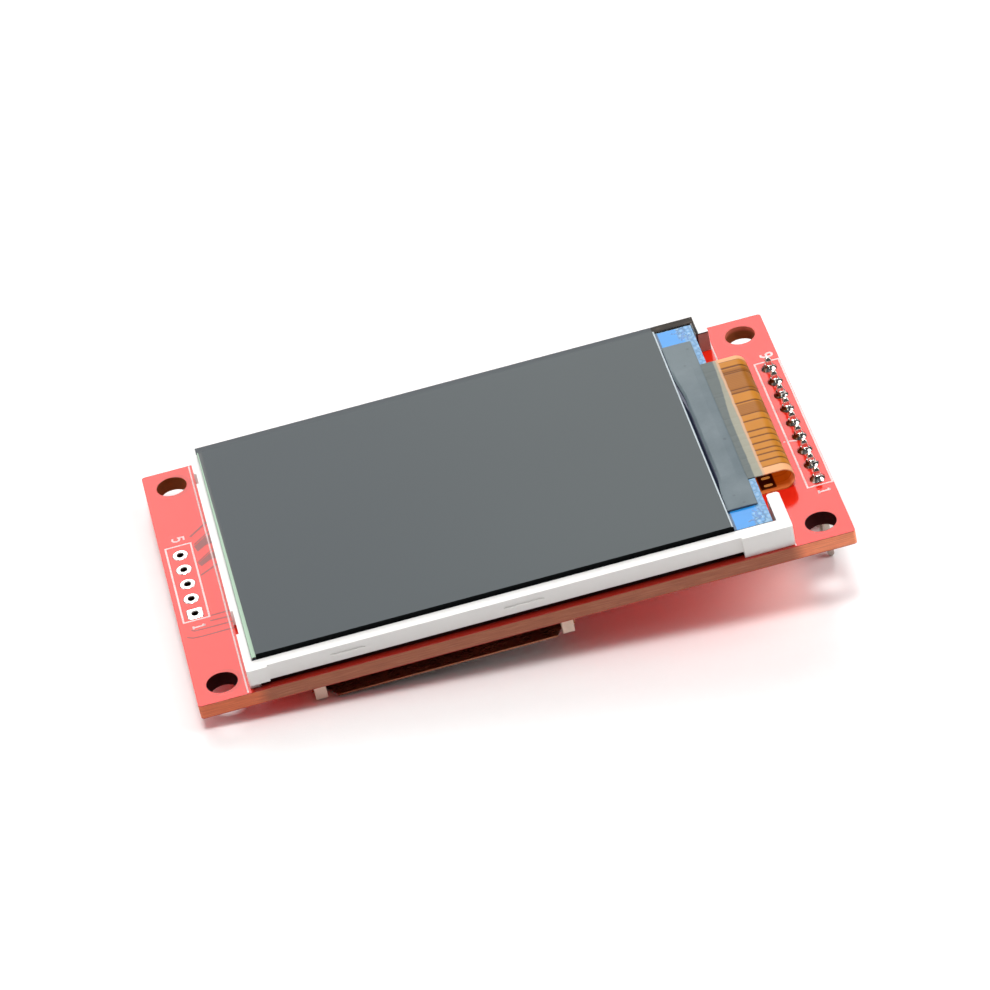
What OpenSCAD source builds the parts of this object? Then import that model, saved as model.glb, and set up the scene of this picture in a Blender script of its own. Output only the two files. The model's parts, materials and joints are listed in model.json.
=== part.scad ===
/* [Circuit board] */
// Length of the board, along X
board_l = 67; // [66:0.5:70]
// Width of the board, along Y
board_w = 40; // [39.8:0.1:42]
// Thickness of the board
board_t = 1.6; // [1.2:0.1:2]
// Diameter of the four mounting holes
hole_d = 3.2; // [2.6:0.1:3.4]
// Distance of the mounting hole centres from the board edges
hole_inset = 2.85; // [2.6:0.05:3.2]
// Diameter of the five open plated holes
small_hole_d = 1; // [0.8:0.05:1.1]

/* [Pin header] */
// Number of header pins
pin_count = 9; // [7:1:11]
// Distance of the pin row from the right board edge
pin_inset = 1.4; // [1.35:0.05:1.6]
// Height of the black plastic strip
strip_h = 2.5; // [2.3:0.05:2.6]
// Reach of the pin tips below the back of the board
pin_reach = 8.3; // [7.5:0.1:9.5]
// Side of the square pins
pin_side = 0.64; // [0.6:0.01:0.66]

/* [Display] */
// Height of the gap between the board and the backlight frame
frame_lift = 0.54; // [0.45:0.01:0.7]
// Height of the backlight frame itself
frame_h = 1.78; // [1.75:0.01:2]
// Length of the upper glass, along X
upper_glass_l = 49.2; // [48.9:0.1:49.6]
// Length of the lower glass, along X
lower_glass_l = 53.1; // [52.9:0.05:53.15]
// Width of both glasses, along Y
glass_w = 36.1; // [36:0.05:36.15]
// Width of the flexible circuit
flex_w = 21; // [18:0.5:22]
// Thickness of the flexible circuit
flex_t = 0.12; // [0.1:0.01:0.16]

/* [Card socket] */
// Width of the card socket over its plastic rails
socket_w = 26.5; // [26.3:0.1:27]
// Depth of the card socket, along Y
socket_d = 27; // [25:0.5:28]
// Height of the card socket
socket_h = 2.8; // [2.75:0.05:3]

/* [Hidden] */
$fn = 48;
eps = 0.01;
pitch = 2.54;

// board faces: the back is z = 0, the face that carries the display is z = board_t
pin_x = board_l / 2 - pin_inset;
row5_x = -board_l / 2 + 1.95;
solder_hole_d = 1.02;

// display stack, from the board up
z_frame0 = board_t + frame_lift;
z_frame1 = z_frame0 + frame_h;
z_refl = z_frame0 + 0.08;
z_guide = z_refl + 0.78;
z_diff = z_guide + 0.08;
z_prism1 = z_diff + 0.09;
z_prism2 = z_prism1 + 0.09;
z_step = z_frame1 - 0.58;
z_rim = z_step + 0.06;
z_rearpol = z_rim + 0.12;
z_tft = z_frame1 + 0.03;
z_cf = z_tft + 0.3;
z_pol = z_cf + 0.15;

// plan of the display; the glass starts at the left and its ledge ends at the connector end
glass_x0 = -27.25;
ledge_x1 = glass_x0 + lower_glass_l;
upper_x1 = glass_x0 + upper_glass_l;
gw = glass_w / 2;
frame_x0 = -28.1;
frame_y_mid = 19.35;
frame_y_end = 19.65;
wall_in_x0 = glass_x0 - 0.06;
wall_in_y = gw + 0.05;
step_x0 = -26.35;
step_x1 = 24.5;
step_y = 17.25;
right_wall_x1 = 25.7;
near_arm_x0 = 26.2;
near_arm_x1 = 27.5;
near_arm_y1 = -13.6;
far_arm_x0 = 25.95;
far_arm_x1 = 27.3;
far_arm_y0 = 16;
block_x0 = 22.3;

// flexible circuit: a flat run on the ledge, a half turn past the end, a flat run on the board
flex_z1 = z_tft + flex_t;
flex_r = (flex_z1 - board_t) / 2;
flex_cx = 29.9 - flex_r;
flex_x_top = 24.95;
flex_x_low = 13.5;

// card socket, on the back of the board
soc_x0 = -22.1;
soc_x1 = soc_x0 + socket_w;
soc_y0 = -18.45;
soc_y1 = soc_y0 + socket_d;
shell_t = 0.2;
rail_in = 1.2;
base_t = 0.45;
contact_x = [for (i = [0:8]) soc_x0 + rail_in + 2.1 + i * 2.5];

// box from corner to corner
module box(a, b) {
    translate(a) cube([b[0] - a[0], b[1] - a[1], b[2] - a[2]]);
}
// outline drawn in X and Z, drawn out along Y
module along_y(pts, y0, y1) {
    translate([0, y1, 0]) rotate([90, 0, 0]) linear_extrude(y1 - y0) polygon(pts);
}
// outline drawn in Y and Z, drawn out along X
module along_x(pts, x0, x1) {
    translate([x0, 0, 0]) rotate([90, 0, 90]) linear_extrude(x1 - x0) polygon(pts);
}
// plate with round corners
module round_plate(x0, x1, y0, y1, z0, z1, r) {
    translate([0, 0, z0]) linear_extrude(z1 - z0) union() {
        translate([x0 + r, y0]) square([x1 - x0 - 2 * r, y1 - y0]);
        translate([x0, y0 + r]) square([x1 - x0, y1 - y0 - 2 * r]);
        for (x = [x0 + r, x1 - r], y = [y0 + r, y1 - r]) translate([x, y]) circle(r, $fn = 32);
    }
}
function header_y(i) = (i - (pin_count - 1) / 2) * pitch;

module pcb() {
    color("crimson") difference() {
        round_plate(-board_l / 2, board_l / 2, -board_w / 2, board_w / 2, 0, board_t, 0.35);
        for (x = [-1, 1], y = [-1, 1])
            translate([x * (board_l / 2 - hole_inset), y * (board_w / 2 - hole_inset), -1])
                cylinder(h = board_t + 2, d = hole_d, $fn = 64);
        for (i = [0:pin_count - 1])
            translate([pin_x, header_y(i), -1]) cylinder(h = board_t + 2, d = solder_hole_d);
        for (i = [-2:2])
            translate([row5_x, i * pitch, -1]) cylinder(h = board_t + 2, d = small_hole_d);
        // two locating holes for the card socket's pegs
        translate([soc_x0 + 2.6, soc_y1 - 4, -1]) cylinder(h = board_t + 2, d = 1.1);
        translate([soc_x1 - 2.6, soc_y1 - 4, -1]) cylinder(h = board_t + 2, d = 1.6);
    }
}

module foam_tape() {
    color("white") for (y = [-13.5, 0, 13.5])
        box([-26.5, y - 2.5, board_t], [12, y + 2.5, z_frame0]);
}

module reflector_sheet() {
    color("white") box([step_x0 + 0.1, -step_y + 0.1, z_frame0], [22.2, step_y - 0.1, z_refl]);
}
module light_guide() {
    color("lightcyan") difference() {
        box([step_x0 + 0.15, -step_y + 0.15, z_refl], [22.2, step_y - 0.15, z_guide]);
        // locating notches that take the frame's inner lugs
        for (y = [-1, 1]) box([10, y * (step_y + 0.5) - 1, z_refl - 1], [12.4, y * (step_y + 0.5) + 1, z_guide + 1]);
    }
}
module film(z0, z1, inset) {
    box([step_x0 + inset, -step_y + inset, z0], [22.2 - inset, step_y - inset, z1]);
}
module diffuser_film() { color("whitesmoke") film(z_guide, z_diff, 0.5); }
module prism_film_lower() { color("lightgrey") film(z_diff, z_prism1, 0.55); }
module prism_film_upper() { color("lightgrey") film(z_prism1, z_prism2, 0.6); }

module lcd_frame() {
    color("white") difference() {
        union() {
            // ring, a little narrower along its middle
            box([frame_x0, -frame_y_mid, z_frame0], [right_wall_x1, frame_y_mid, z_frame1]);
            // left end, full width
            for (m = [0, 1]) mirror([0, m, 0]) {
                round_plate(frame_x0, -26, -frame_y_end, -17, z_frame0, z_frame1, 0.25);
                box([-27.2, -frame_y_end, z_frame0], [-26, -17, z_frame1]);
                // foot at the left corner
                round_plate(frame_x0, -26.95, -frame_y_mid, -17.6, board_t, z_frame0 + eps, 0.2);
            }
            // near right corner block and arm
            round_plate(block_x0, near_arm_x1, -frame_y_end, -wall_in_y - 0.02, board_t, z_frame1, 0.3);
            box([block_x0, -frame_y_end, board_t], [block_x0 + 1, -wall_in_y - 0.02, z_frame1]);
            round_plate(near_arm_x0, near_arm_x1, -frame_y_end, near_arm_y1, board_t, z_frame1, 0.35);
            box([near_arm_x0, -frame_y_end + 0.5, board_t], [near_arm_x0 + 0.6, -17, z_frame1]);
            // far right corner block and short arm
            round_plate(block_x0, far_arm_x1, wall_in_y + 0.02, frame_y_end, board_t, z_frame1, 0.3);
            box([block_x0, wall_in_y + 0.02, board_t], [block_x0 + 1, frame_y_end, z_frame1]);
            box([far_arm_x0, far_arm_y0, board_t], [far_arm_x1, frame_y_end - 0.4, z_frame1]);
        }
        // seat for the glass, open to the right over the low end wall
        box([wall_in_x0, -wall_in_y, z_step], [right_wall_x1 + 0.15, wall_in_y, z_frame1 + 1]);
        // well for the light guide
        box([step_x0, -step_y, z_frame0 - 1], [step_x1, step_y, z_step + eps]);
        // shallow hollows in the front and back faces, where the panel is gripped
        for (m = [0, 1]) mirror([0, m, 0]) {
            box([-19.7, -frame_y_mid - 1, z_frame0 + 0.82], [-16.2, -frame_y_mid + 0.12, z_frame0 + 1.14]);
            box([-2, -frame_y_mid - 1, z_frame0 + 0.82], [2, -frame_y_mid + 0.12, z_frame0 + 1.14]);
        }
        // notches in the left face
        box([frame_x0 - 1, 13.2, z_frame0 - 1], [frame_x0 + 0.26, 15, z_frame1 + 1]);
        box([frame_x0 - 1, -13.3, z_frame0 - 1], [frame_x0 + 0.26, -9.4, z_frame1 + 1]);
        // vent gap in the low end wall for the flexible strip of the LEDs
        box([step_x1 - 1, -3, z_frame0 - 1], [right_wall_x1 + 1, 3, z_frame0 + 0.3]);
    }
    // lugs that locate the light guide
    color("white") for (y = [-1, 1])
        box([10.2, y > 0 ? step_y - 0.45 : -step_y - 0.3, z_frame0 + 0.1], [12.2, y > 0 ? step_y + 0.3 : -step_y + 0.45, z_guide]);
}

module rim_tape() {
    color("black") difference() {
        box([glass_x0 + 0.05, -gw + 0.05, z_step], [right_wall_x1 - 0.1, gw - 0.05, z_rim]);
        box([-25.4, -17.1, z_step - 1], [20.4, 17.1, z_rim + 1]);
    }
}
module edge_tape() {
    color("#1c1815") union() {
        box([-27.35, wall_in_y + 0.1, z_frame1], [26.25, 19.3, z_frame1 + 0.06]);
        box([far_arm_x0 + 0.02, far_arm_y0 + 0.05, z_frame1], [26.25, 19.3, z_frame1 + 0.06]);
        // tail folded down over the end of the far arm
        box([far_arm_x0 + 0.02, far_arm_y0 - 0.06, z_frame1], [26.25, far_arm_y0 + 0.06, z_frame1 + 0.06]);
        box([far_arm_x0 + 0.02, far_arm_y0 - 0.06, board_t + 0.1], [far_arm_x1 - 0.03, far_arm_y0, z_frame1 + 0.06]);
    }
}
module rear_polarizer() {
    color("dimgrey") box([glass_x0 + 0.4, -gw + 0.3, z_rim], [21.6, gw - 0.3, z_rearpol]);
}
module tft_glass() {
    color("#9fc8e8") box([glass_x0, -gw, z_rearpol], [ledge_x1, gw, z_tft]);
}
module color_filter_glass() {
    color("#a8b0ac") box([glass_x0, -gw, z_tft], [upper_x1, gw, z_cf]);
}
module front_polarizer() {
    color("#6c7174") round_plate(-26.8, 21.75, -gw + 0.05, gw - 0.05, z_cf, z_pol, 0.15);
}

module driver_ic() {
    color("#303236") box([23, -9.2, z_tft], [24.2, 9.2, z_tft + 0.28]);
}
module driver_tape() {
    // tape that runs up over the chip and down on the root of the flexible circuit
    t = 0.05;
    hi = z_tft + 0.28;
    lo = z_tft;
    fx = flex_z1;
    color("#98a2a8") along_y([[22.35, lo], [22.75, lo], [22.98, hi], [24.25, hi], [24.8, fx], [25.15, fx],
        [25.15, fx + t], [24.82, fx + t], [24.27, hi + t], [22.95, hi + t], [22.72, lo + t], [22.35, lo + t]],
        -14.9, 14.9);
}

module flex_cable() {
    color("#d08f54") translate([0, flex_w / 2, 0]) rotate([90, 0, 0]) linear_extrude(flex_w) union() {
        translate([flex_x_top, z_tft]) square([flex_cx - flex_x_top, flex_t]);
        translate([flex_x_low, board_t]) square([flex_cx - flex_x_low, flex_t]);
        translate([flex_cx, board_t + flex_r]) intersection() {
            difference() {
                circle(flex_r, $fn = 96);
                circle(flex_r - flex_t, $fn = 96);
            }
            translate([-eps, -5]) square([5, 10]);
        }
    }
}

module led_flex() {
    color("#d9c08a") union() {
        box([22.3, -15, z_frame0], [24.35, 15, z_frame0 + 0.06]);
        box([24.3, -2.5, z_frame0], [25.5, 2.5, z_frame0 + 0.06]);
    }
}
module backlight_leds() {
    color("lightyellow") for (y = [-12, -4, 4, 12])
        box([22.3, y - 1.9, z_frame0 + 0.1], [23.3, y + 1.9, z_frame0 + 0.7]);
}

module header_body() {
    // one segment per pin, with the corner nicks of a break-away strip
    color("#18181a") difference() {
        box([pin_x - 1.25, -pin_count * pitch / 2, -strip_h], [pin_x + 1.25, pin_count * pitch / 2, 0]);
        for (i = [0:pin_count], s = [-1, 1])
            translate([pin_x + s * 1.25, (i - pin_count / 2) * pitch, -strip_h - 1])
                rotate([0, 0, 45]) cube([0.62, 0.62, strip_h * 2 + 4], center = true);
        for (i = [0:pin_count - 1])
            box([pin_x - pin_side / 2, header_y(i) - pin_side / 2, -strip_h - 1], [pin_x + pin_side / 2, header_y(i) + pin_side / 2, 1]);
        // open channels under the plastic, towards the board
        for (i = [0:pin_count - 1])
            box([pin_x - 2, header_y(i) - 0.55, -0.2], [pin_x + 2, header_y(i) + 0.55, 1]);
    }
}
module header_pins() {
    h = pin_side / 2;
    top = board_t + 1.4;
    prof = [[-h, -pin_reach + 0.35], [-h / 2.2, -pin_reach], [h / 2.2, -pin_reach], [h, -pin_reach + 0.35],
        [h, top - 0.3], [h / 2.2, top], [-h / 2.2, top], [-h, top - 0.3]];
    color("#cfccc4") for (i = [0:pin_count - 1]) translate([pin_x, header_y(i), 0]) intersection() {
        along_y(prof, -1, 1);
        along_x(prof, -1, 1);
    }
}
module header_solder() {
    color("silver") for (i = [0:pin_count - 1]) translate([pin_x, header_y(i), 0]) difference() {
        rotate_extrude($fn = 40) polygon([[0, 0.02], [solder_hole_d / 2 - 0.005, 0.02], [solder_hole_d / 2 - 0.005, board_t],
            [0.82, board_t], [0.82, board_t + 0.05], [0.66, board_t + 0.16], [0.53, board_t + 0.4],
            [0.47, board_t + 0.8], [0, board_t + 0.8]]);
        box([-pin_side / 2, -pin_side / 2, -1], [pin_side / 2, pin_side / 2, 5]);
    }
}

module sd_housing() {
    color("#d8cdb4") difference() {
        union() {
            // base against the board
            box([soc_x0, soc_y0 + 1.2, -base_t], [soc_x1, soc_y1, 0]);
            // side rails and front posts
            box([soc_x0, soc_y0, -socket_h + shell_t], [soc_x0 + rail_in, soc_y1, 0]);
            box([soc_x1 - rail_in, soc_y0, -socket_h + shell_t], [soc_x1, soc_y1, 0]);
            // rear wall
            box([soc_x0, soc_y1 - 2, -socket_h + shell_t], [soc_x1, soc_y1, 0]);
            // locating pegs
            translate([soc_x0 + 2.6, soc_y1 - 4, 0]) cylinder(h = board_t - 0.2, d = 1);
            translate([soc_x1 - 2.6, soc_y1 - 4, 0]) cylinder(h = board_t - 0.2, d = 1.5);
        }
        // channels for the spring contacts
        for (x = contact_x)
            box([x - 0.5, soc_y1 - 14, -base_t - 0.35], [x + 0.5, soc_y1 + 1, 1]);
        // seats for the two switch springs
        box([soc_x1 - rail_in - 0.01, -6, -base_t - 1.3], [soc_x1 - 0.4, 2, 1]);
        // key cut in the rear wall
        box([soc_x0 + rail_in, soc_y1 - 2.01, -socket_h - 1], [soc_x0 + rail_in + 3, soc_y1 - 1, -base_t - 0.3]);
    }
}
module sd_shell() {
    g = 0.02;
    color("#b9bcc0") difference() {
        union() {
            // cover plate, with its front corners cut back
            translate([0, 0, -socket_h]) linear_extrude(shell_t) polygon([[soc_x0 - shell_t, soc_y0 + 1.6],
                [soc_x0 + 1.2, soc_y0 + 1.6], [soc_x0 + 2.2, soc_y0], [soc_x1 - 1.75, soc_y0],
                [soc_x1 - 0.8, soc_y0 + 1.6], [soc_x1 + shell_t, soc_y0 + 1.6],
                [soc_x1 + shell_t, soc_y1], [soc_x0 - shell_t, soc_y1]]);
            // side skirts
            box([soc_x0 - shell_t, soc_y0 + 1.6, -socket_h], [soc_x0 - g, soc_y1, -0.25]);
            box([soc_x1 + g, soc_y0 + 1.6, -socket_h], [soc_x1 + shell_t, soc_y1, -0.25]);
            // solder feet
            for (y = [soc_y0 + 2.2, soc_y1 - 3.4]) {
                box([soc_x0 - 1.2, y, -0.2], [soc_x0 - g, y + 1.8, 0]);
                box([soc_x0 - shell_t, y, -0.6], [soc_x0 - g, y + 1.8, 0]);
                box([soc_x1 + g, y, -0.2], [soc_x1 + 1.2, y + 1.8, 0]);
                box([soc_x1 + g, y, -0.6], [soc_x1 + shell_t, y + 1.8, 0]);
            }
            // grounding ear beside the mouth
            box([soc_x1 + g, soc_y0 + 0.2, -1.9], [soc_x1 + shell_t, soc_y0 + 1.7, -0.25]);
        }
        // windows where the card springs are lanced out of the cover
        for (x = [soc_x0 + 6, soc_x1 - 9])
            difference() {
                box([x, -4, -socket_h - 1], [x + 3, 4.5, 1]);
                box([x + 0.5, -3.5, -socket_h - 2], [x + 2.5, 5, 2]);
            }
    }
}
module sd_contacts() {
    prof = [[soc_y1 + 1.1, 0], [soc_y1 + 1.1, -0.12], [soc_y1 + 0.1, -0.12], [soc_y1 - 0.3, -0.3], [soc_y1 - 9.5, -0.3],
        [soc_y1 - 12, -0.95], [soc_y1 - 12.8, -0.75], [soc_y1 - 12.9, -0.6], [soc_y1 - 12.1, -0.8],
        [soc_y1 - 9.5, -0.16], [soc_y1 - 0.3, -0.16], [soc_y1 + 0.1, 0]];
    color("#d9b45a") for (x = contact_x) along_x(prof, x - 0.35, x + 0.35);
}
module sd_switch() {
    color("#d9b45a") for (k = [0, 1])
        along_x([[-5.6 + k * 4, -0.15], [-5.6 + k * 4, -1.5], [-5.45 + k * 4, -1.5], [-5.45 + k * 4, -0.3],
            [-2.6 + k * 4, -0.3], [-2.6 + k * 4, -0.15]], soc_x1 - 0.95, soc_x1 - 0.55);
}

// three-lead surface-mount package, on the back of the board
module sot_body(x, y, a) {
    translate([x, y, 0]) rotate([0, 0, a]) along_x([[-0.65, -0.56], [-0.58, -1.05], [0.58, -1.05], [0.65, -0.56], [0.58, -0.08], [-0.58, -0.08]], -1.45, 1.45);
}
module sot_leads(x, y, a) {
    prof = [[0.65, -0.62], [0.9, -0.62], [1.02, -0.13], [1.25, -0.13], [1.25, 0], [0.93, 0], [0.82, -0.5], [0.65, -0.5]];
    translate([x, y, 0]) rotate([0, 0, a]) {
        along_x(prof, -1.15, -0.75);
        along_x(prof, 0.75, 1.15);
        mirror([0, 1, 0]) along_x(prof, -0.2, 0.2);
    }
}
module regulator_body() { color("#202124") sot_body(11.5, -12, 0); }
module regulator_leads() { color("silver") sot_leads(11.5, -12, 0); }
module transistor_body() { color("#202124") sot_body(18.5, -12, 0); }
module transistor_leads() { color("silver") sot_leads(18.5, -12, 0); }

module chip_resistors() {
    color("#1e2226") {
        for (i = [0:3]) box([8.2 + i * 2.6 - 0.4, 10.2, -0.45], [8.2 + i * 2.6 + 0.4, 11.8, 0]);
        for (i = [0:1]) box([21.7 + i * 2.4 - 0.4, -12.8, -0.45], [21.7 + i * 2.4 + 0.4, -11.2, 0]);
        box([14.6, -8.9, -0.45], [16.2, -8.1, 0]);
    }
}
module chip_capacitors() {
    color("#a58a68") {
        for (x = [8.1, 15]) box([x - 0.4, -12.8, -0.8], [x + 0.4, -11.2, 0]);
        box([19.4, 10.2, -0.8], [20.2, 11.8, 0]);
    }
}

pcb();
foam_tape();
reflector_sheet();
light_guide();
diffuser_film();
prism_film_lower();
prism_film_upper();
lcd_frame();
rim_tape();
edge_tape();
rear_polarizer();
tft_glass();
color_filter_glass();
front_polarizer();
driver_ic();
driver_tape();
flex_cable();
led_flex();
backlight_leds();
header_body();
header_pins();
header_solder();
sd_housing();
sd_shell();
sd_contacts();
sd_switch();
regulator_body();
regulator_leads();
transistor_body();
transistor_leads();
chip_resistors();
chip_capacitors();
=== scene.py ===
import json
import math
import random

import bmesh
import bpy
from mathutils import Matrix, Vector, noise


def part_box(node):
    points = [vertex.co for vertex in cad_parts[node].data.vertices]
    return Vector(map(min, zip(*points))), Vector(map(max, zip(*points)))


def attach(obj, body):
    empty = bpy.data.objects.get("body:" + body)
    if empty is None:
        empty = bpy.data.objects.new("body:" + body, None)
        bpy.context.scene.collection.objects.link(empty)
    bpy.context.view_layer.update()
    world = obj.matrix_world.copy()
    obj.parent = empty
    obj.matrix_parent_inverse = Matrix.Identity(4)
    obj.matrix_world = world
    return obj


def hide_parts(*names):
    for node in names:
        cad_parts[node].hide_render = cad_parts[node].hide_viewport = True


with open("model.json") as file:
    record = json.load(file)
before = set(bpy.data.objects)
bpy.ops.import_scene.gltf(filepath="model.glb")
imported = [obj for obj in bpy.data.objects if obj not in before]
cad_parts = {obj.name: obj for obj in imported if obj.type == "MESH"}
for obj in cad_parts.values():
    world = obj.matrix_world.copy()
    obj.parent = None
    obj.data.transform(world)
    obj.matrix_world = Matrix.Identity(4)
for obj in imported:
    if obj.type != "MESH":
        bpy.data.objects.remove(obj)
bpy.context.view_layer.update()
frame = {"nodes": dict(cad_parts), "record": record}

NODES = frame["nodes"]
MM = 0.001
scene = bpy.context.scene


# ---------------------------------------------------------------- materials
class Mat:
    """A Principled material whose masks are written in millimetres of the row frame."""

    def __init__(self, name, color=(0.8, 0.8, 0.8), rough=0.5, metal=0.0, ior=1.5, spec=0.5,
                 coat=0.0, coat_rough=0.05, transmission=0.0):
        self.m = bpy.data.materials.new(name)
        self.m.use_nodes = True
        self.nt = self.m.node_tree
        self.nt.nodes.clear()
        self.out = self.nt.nodes.new("ShaderNodeOutputMaterial")
        self.p = self.nt.nodes.new("ShaderNodeBsdfPrincipled")
        self.nt.links.new(self.p.outputs[0], self.out.inputs["Surface"])
        i = self.p.inputs
        i["Base Color"].default_value = (*color, 1)
        i["Roughness"].default_value = rough
        i["Metallic"].default_value = metal
        i["IOR"].default_value = ior
        i["Specular IOR Level"].default_value = spec
        i["Coat Weight"].default_value = coat
        i["Coat Roughness"].default_value = coat_rough
        i["Transmission Weight"].default_value = transmission
        tc = self.nt.nodes.new("ShaderNodeTexCoord")
        sc = self.nt.nodes.new("ShaderNodeVectorMath")
        sc.operation = "SCALE"
        sc.inputs["Scale"].default_value = 1000
        self.nt.links.new(tc.outputs["Object"], sc.inputs[0])
        self.mm = sc.outputs[0]
        sep = self.nt.nodes.new("ShaderNodeSeparateXYZ")
        self.nt.links.new(self.mm, sep.inputs[0])
        self.x, self.y, self.z = sep.outputs
        self._n = None

    def normal(self):
        if self._n is None:
            g = self.nt.nodes.new("ShaderNodeNewGeometry")
            s = self.nt.nodes.new("ShaderNodeSeparateXYZ")
            self.nt.links.new(g.outputs["True Normal"], s.inputs[0])
            self._n = s.outputs
        return self._n

    def put(self, value, socket):
        if hasattr(value, "is_linked") or isinstance(value, bpy.types.NodeSocket):
            self.nt.links.new(value, socket)
        elif isinstance(value, (tuple, list)) and len(value) == 3 and socket.type == "RGBA":
            socket.default_value = (*value, 1)
        else:
            socket.default_value = value

    def math(self, op, a, b=0.0, c=None, clamp=False):
        n = self.nt.nodes.new("ShaderNodeMath")
        n.operation = op
        n.use_clamp = clamp
        self.put(a, n.inputs[0])
        self.put(b, n.inputs[1])
        if c is not None:
            self.put(c, n.inputs[2])
        return n.outputs[0]

    def step(self, v, lo, hi, a=0.0, b=1.0):
        """a below lo, b above hi, smooth between."""
        n = self.nt.nodes.new("ShaderNodeMapRange")
        n.interpolation_type = "SMOOTHSTEP"
        self.put(v, n.inputs["Value"])
        n.inputs["From Min"].default_value = lo
        n.inputs["From Max"].default_value = hi
        n.inputs["To Min"].default_value = a
        n.inputs["To Max"].default_value = b
        return n.outputs[0]

    def band(self, v, lo, hi, soft=0.05):
        """1 between lo and hi."""
        return self.math("MULTIPLY", self.step(v, lo - soft, lo + soft), self.step(v, hi - soft, hi + soft, 1.0, 0.0))

    def rect(self, x0, x1, y0, y1, soft=0.05):
        return self.math("MULTIPLY", self.band(self.x, x0, x1, soft), self.band(self.y, y0, y1, soft))

    def either(self, *masks):
        r = masks[0]
        for m in masks[1:]:
            r = self.math("MAXIMUM", r, m)
        return r

    def both(self, *masks):
        r = masks[0]
        for m in masks[1:]:
            r = self.math("MULTIPLY", r, m)
        return r

    def mix(self, fac, a, b, blend="MIX"):
        n = self.nt.nodes.new("ShaderNodeMix")
        n.data_type = "RGBA"
        n.blend_type = blend
        self.put(fac, n.inputs[0])
        self.put(a, n.inputs[6])
        self.put(b, n.inputs[7])
        return n.outputs[2]

    def stretch(self, sx, sy, sz, rot=None):
        n = self.nt.nodes.new("ShaderNodeMapping")
        self.nt.links.new(self.mm, n.inputs["Vector"])
        n.inputs["Scale"].default_value = (sx, sy, sz)
        if rot:
            n.inputs["Rotation"].default_value = rot
        return n.outputs[0]

    def noise(self, scale, detail=2.0, rough=0.5, vec=None, distortion=0.0):
        n = self.nt.nodes.new("ShaderNodeTexNoise")
        self.nt.links.new(self.mm if vec is None else vec, n.inputs["Vector"])
        n.inputs["Scale"].default_value = scale
        n.inputs["Detail"].default_value = detail
        n.inputs["Roughness"].default_value = rough
        n.inputs["Distortion"].default_value = distortion
        return n.outputs["Fac"]

    def cells(self, scale, vec=None, feature="F1", out="Distance", randomness=1.0):
        n = self.nt.nodes.new("ShaderNodeTexVoronoi")
        n.feature = feature
        self.nt.links.new(self.mm if vec is None else vec, n.inputs["Vector"])
        n.inputs["Scale"].default_value = scale
        n.inputs["Randomness"].default_value = randomness
        return n.outputs[out]

    def ramp(self, fac, *stops):
        n = self.nt.nodes.new("ShaderNodeValToRGB")
        self.put(fac, n.inputs[0])
        e = n.color_ramp.elements
        while len(e) > 1:
            e.remove(e[-1])
        e[0].position, e[0].color = stops[0][0], (*stops[0][1], 1)
        for pos, col in stops[1:]:
            k = e.new(pos)
            k.color = (*col, 1)
        return n.outputs[0]

    def dist(self, cx, cy):
        """Distance in the XY plane from an axis at cx, cy."""
        dx = self.math("SUBTRACT", self.x, cx)
        dy = self.math("SUBTRACT", self.y, cy)
        return self.math("SQRT", self.math("ADD", self.math("MULTIPLY", dx, dx), self.math("MULTIPLY", dy, dy)))

    def color(self, value):
        self.put(value, self.p.inputs["Base Color"])

    def rough(self, value):
        self.put(value, self.p.inputs["Roughness"])

    def vary(self, color, amount=0.06, scale=0.8, detail=3.0, vec=None):
        """color made a little lighter and darker by noise."""
        n = self.noise(scale, detail, 0.55, vec)
        dark = self.mix(1.0, color, (1 - amount,) * 3, "MULTIPLY")
        light = self.mix(1.0, color, (1 + amount,) * 3, "MULTIPLY")
        return self.mix(n, dark, light)

    def bump(self, height, strength=0.2, distance=0.02, normal=None):
        """height in 0..1 stands for distance in millimetres."""
        n = self.nt.nodes.new("ShaderNodeBump")
        n.inputs["Strength"].default_value = strength
        n.inputs["Distance"].default_value = distance * MM
        self.put(height, n.inputs["Height"])
        if normal is not None:
            self.nt.links.new(normal, n.inputs["Normal"])
        self.nt.links.new(n.outputs[0], self.p.inputs["Normal"])
        return n.outputs[0]


HOLES = [(-30.65, -17.15), (-30.65, 17.15), (30.65, -17.15), (30.65, 17.15)]
FIVE = [(-31.55, (i - 2) * 2.54) for i in range(5)]
NINE = [(32.1, (i - 4) * 2.54) for i in range(9)]


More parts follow.
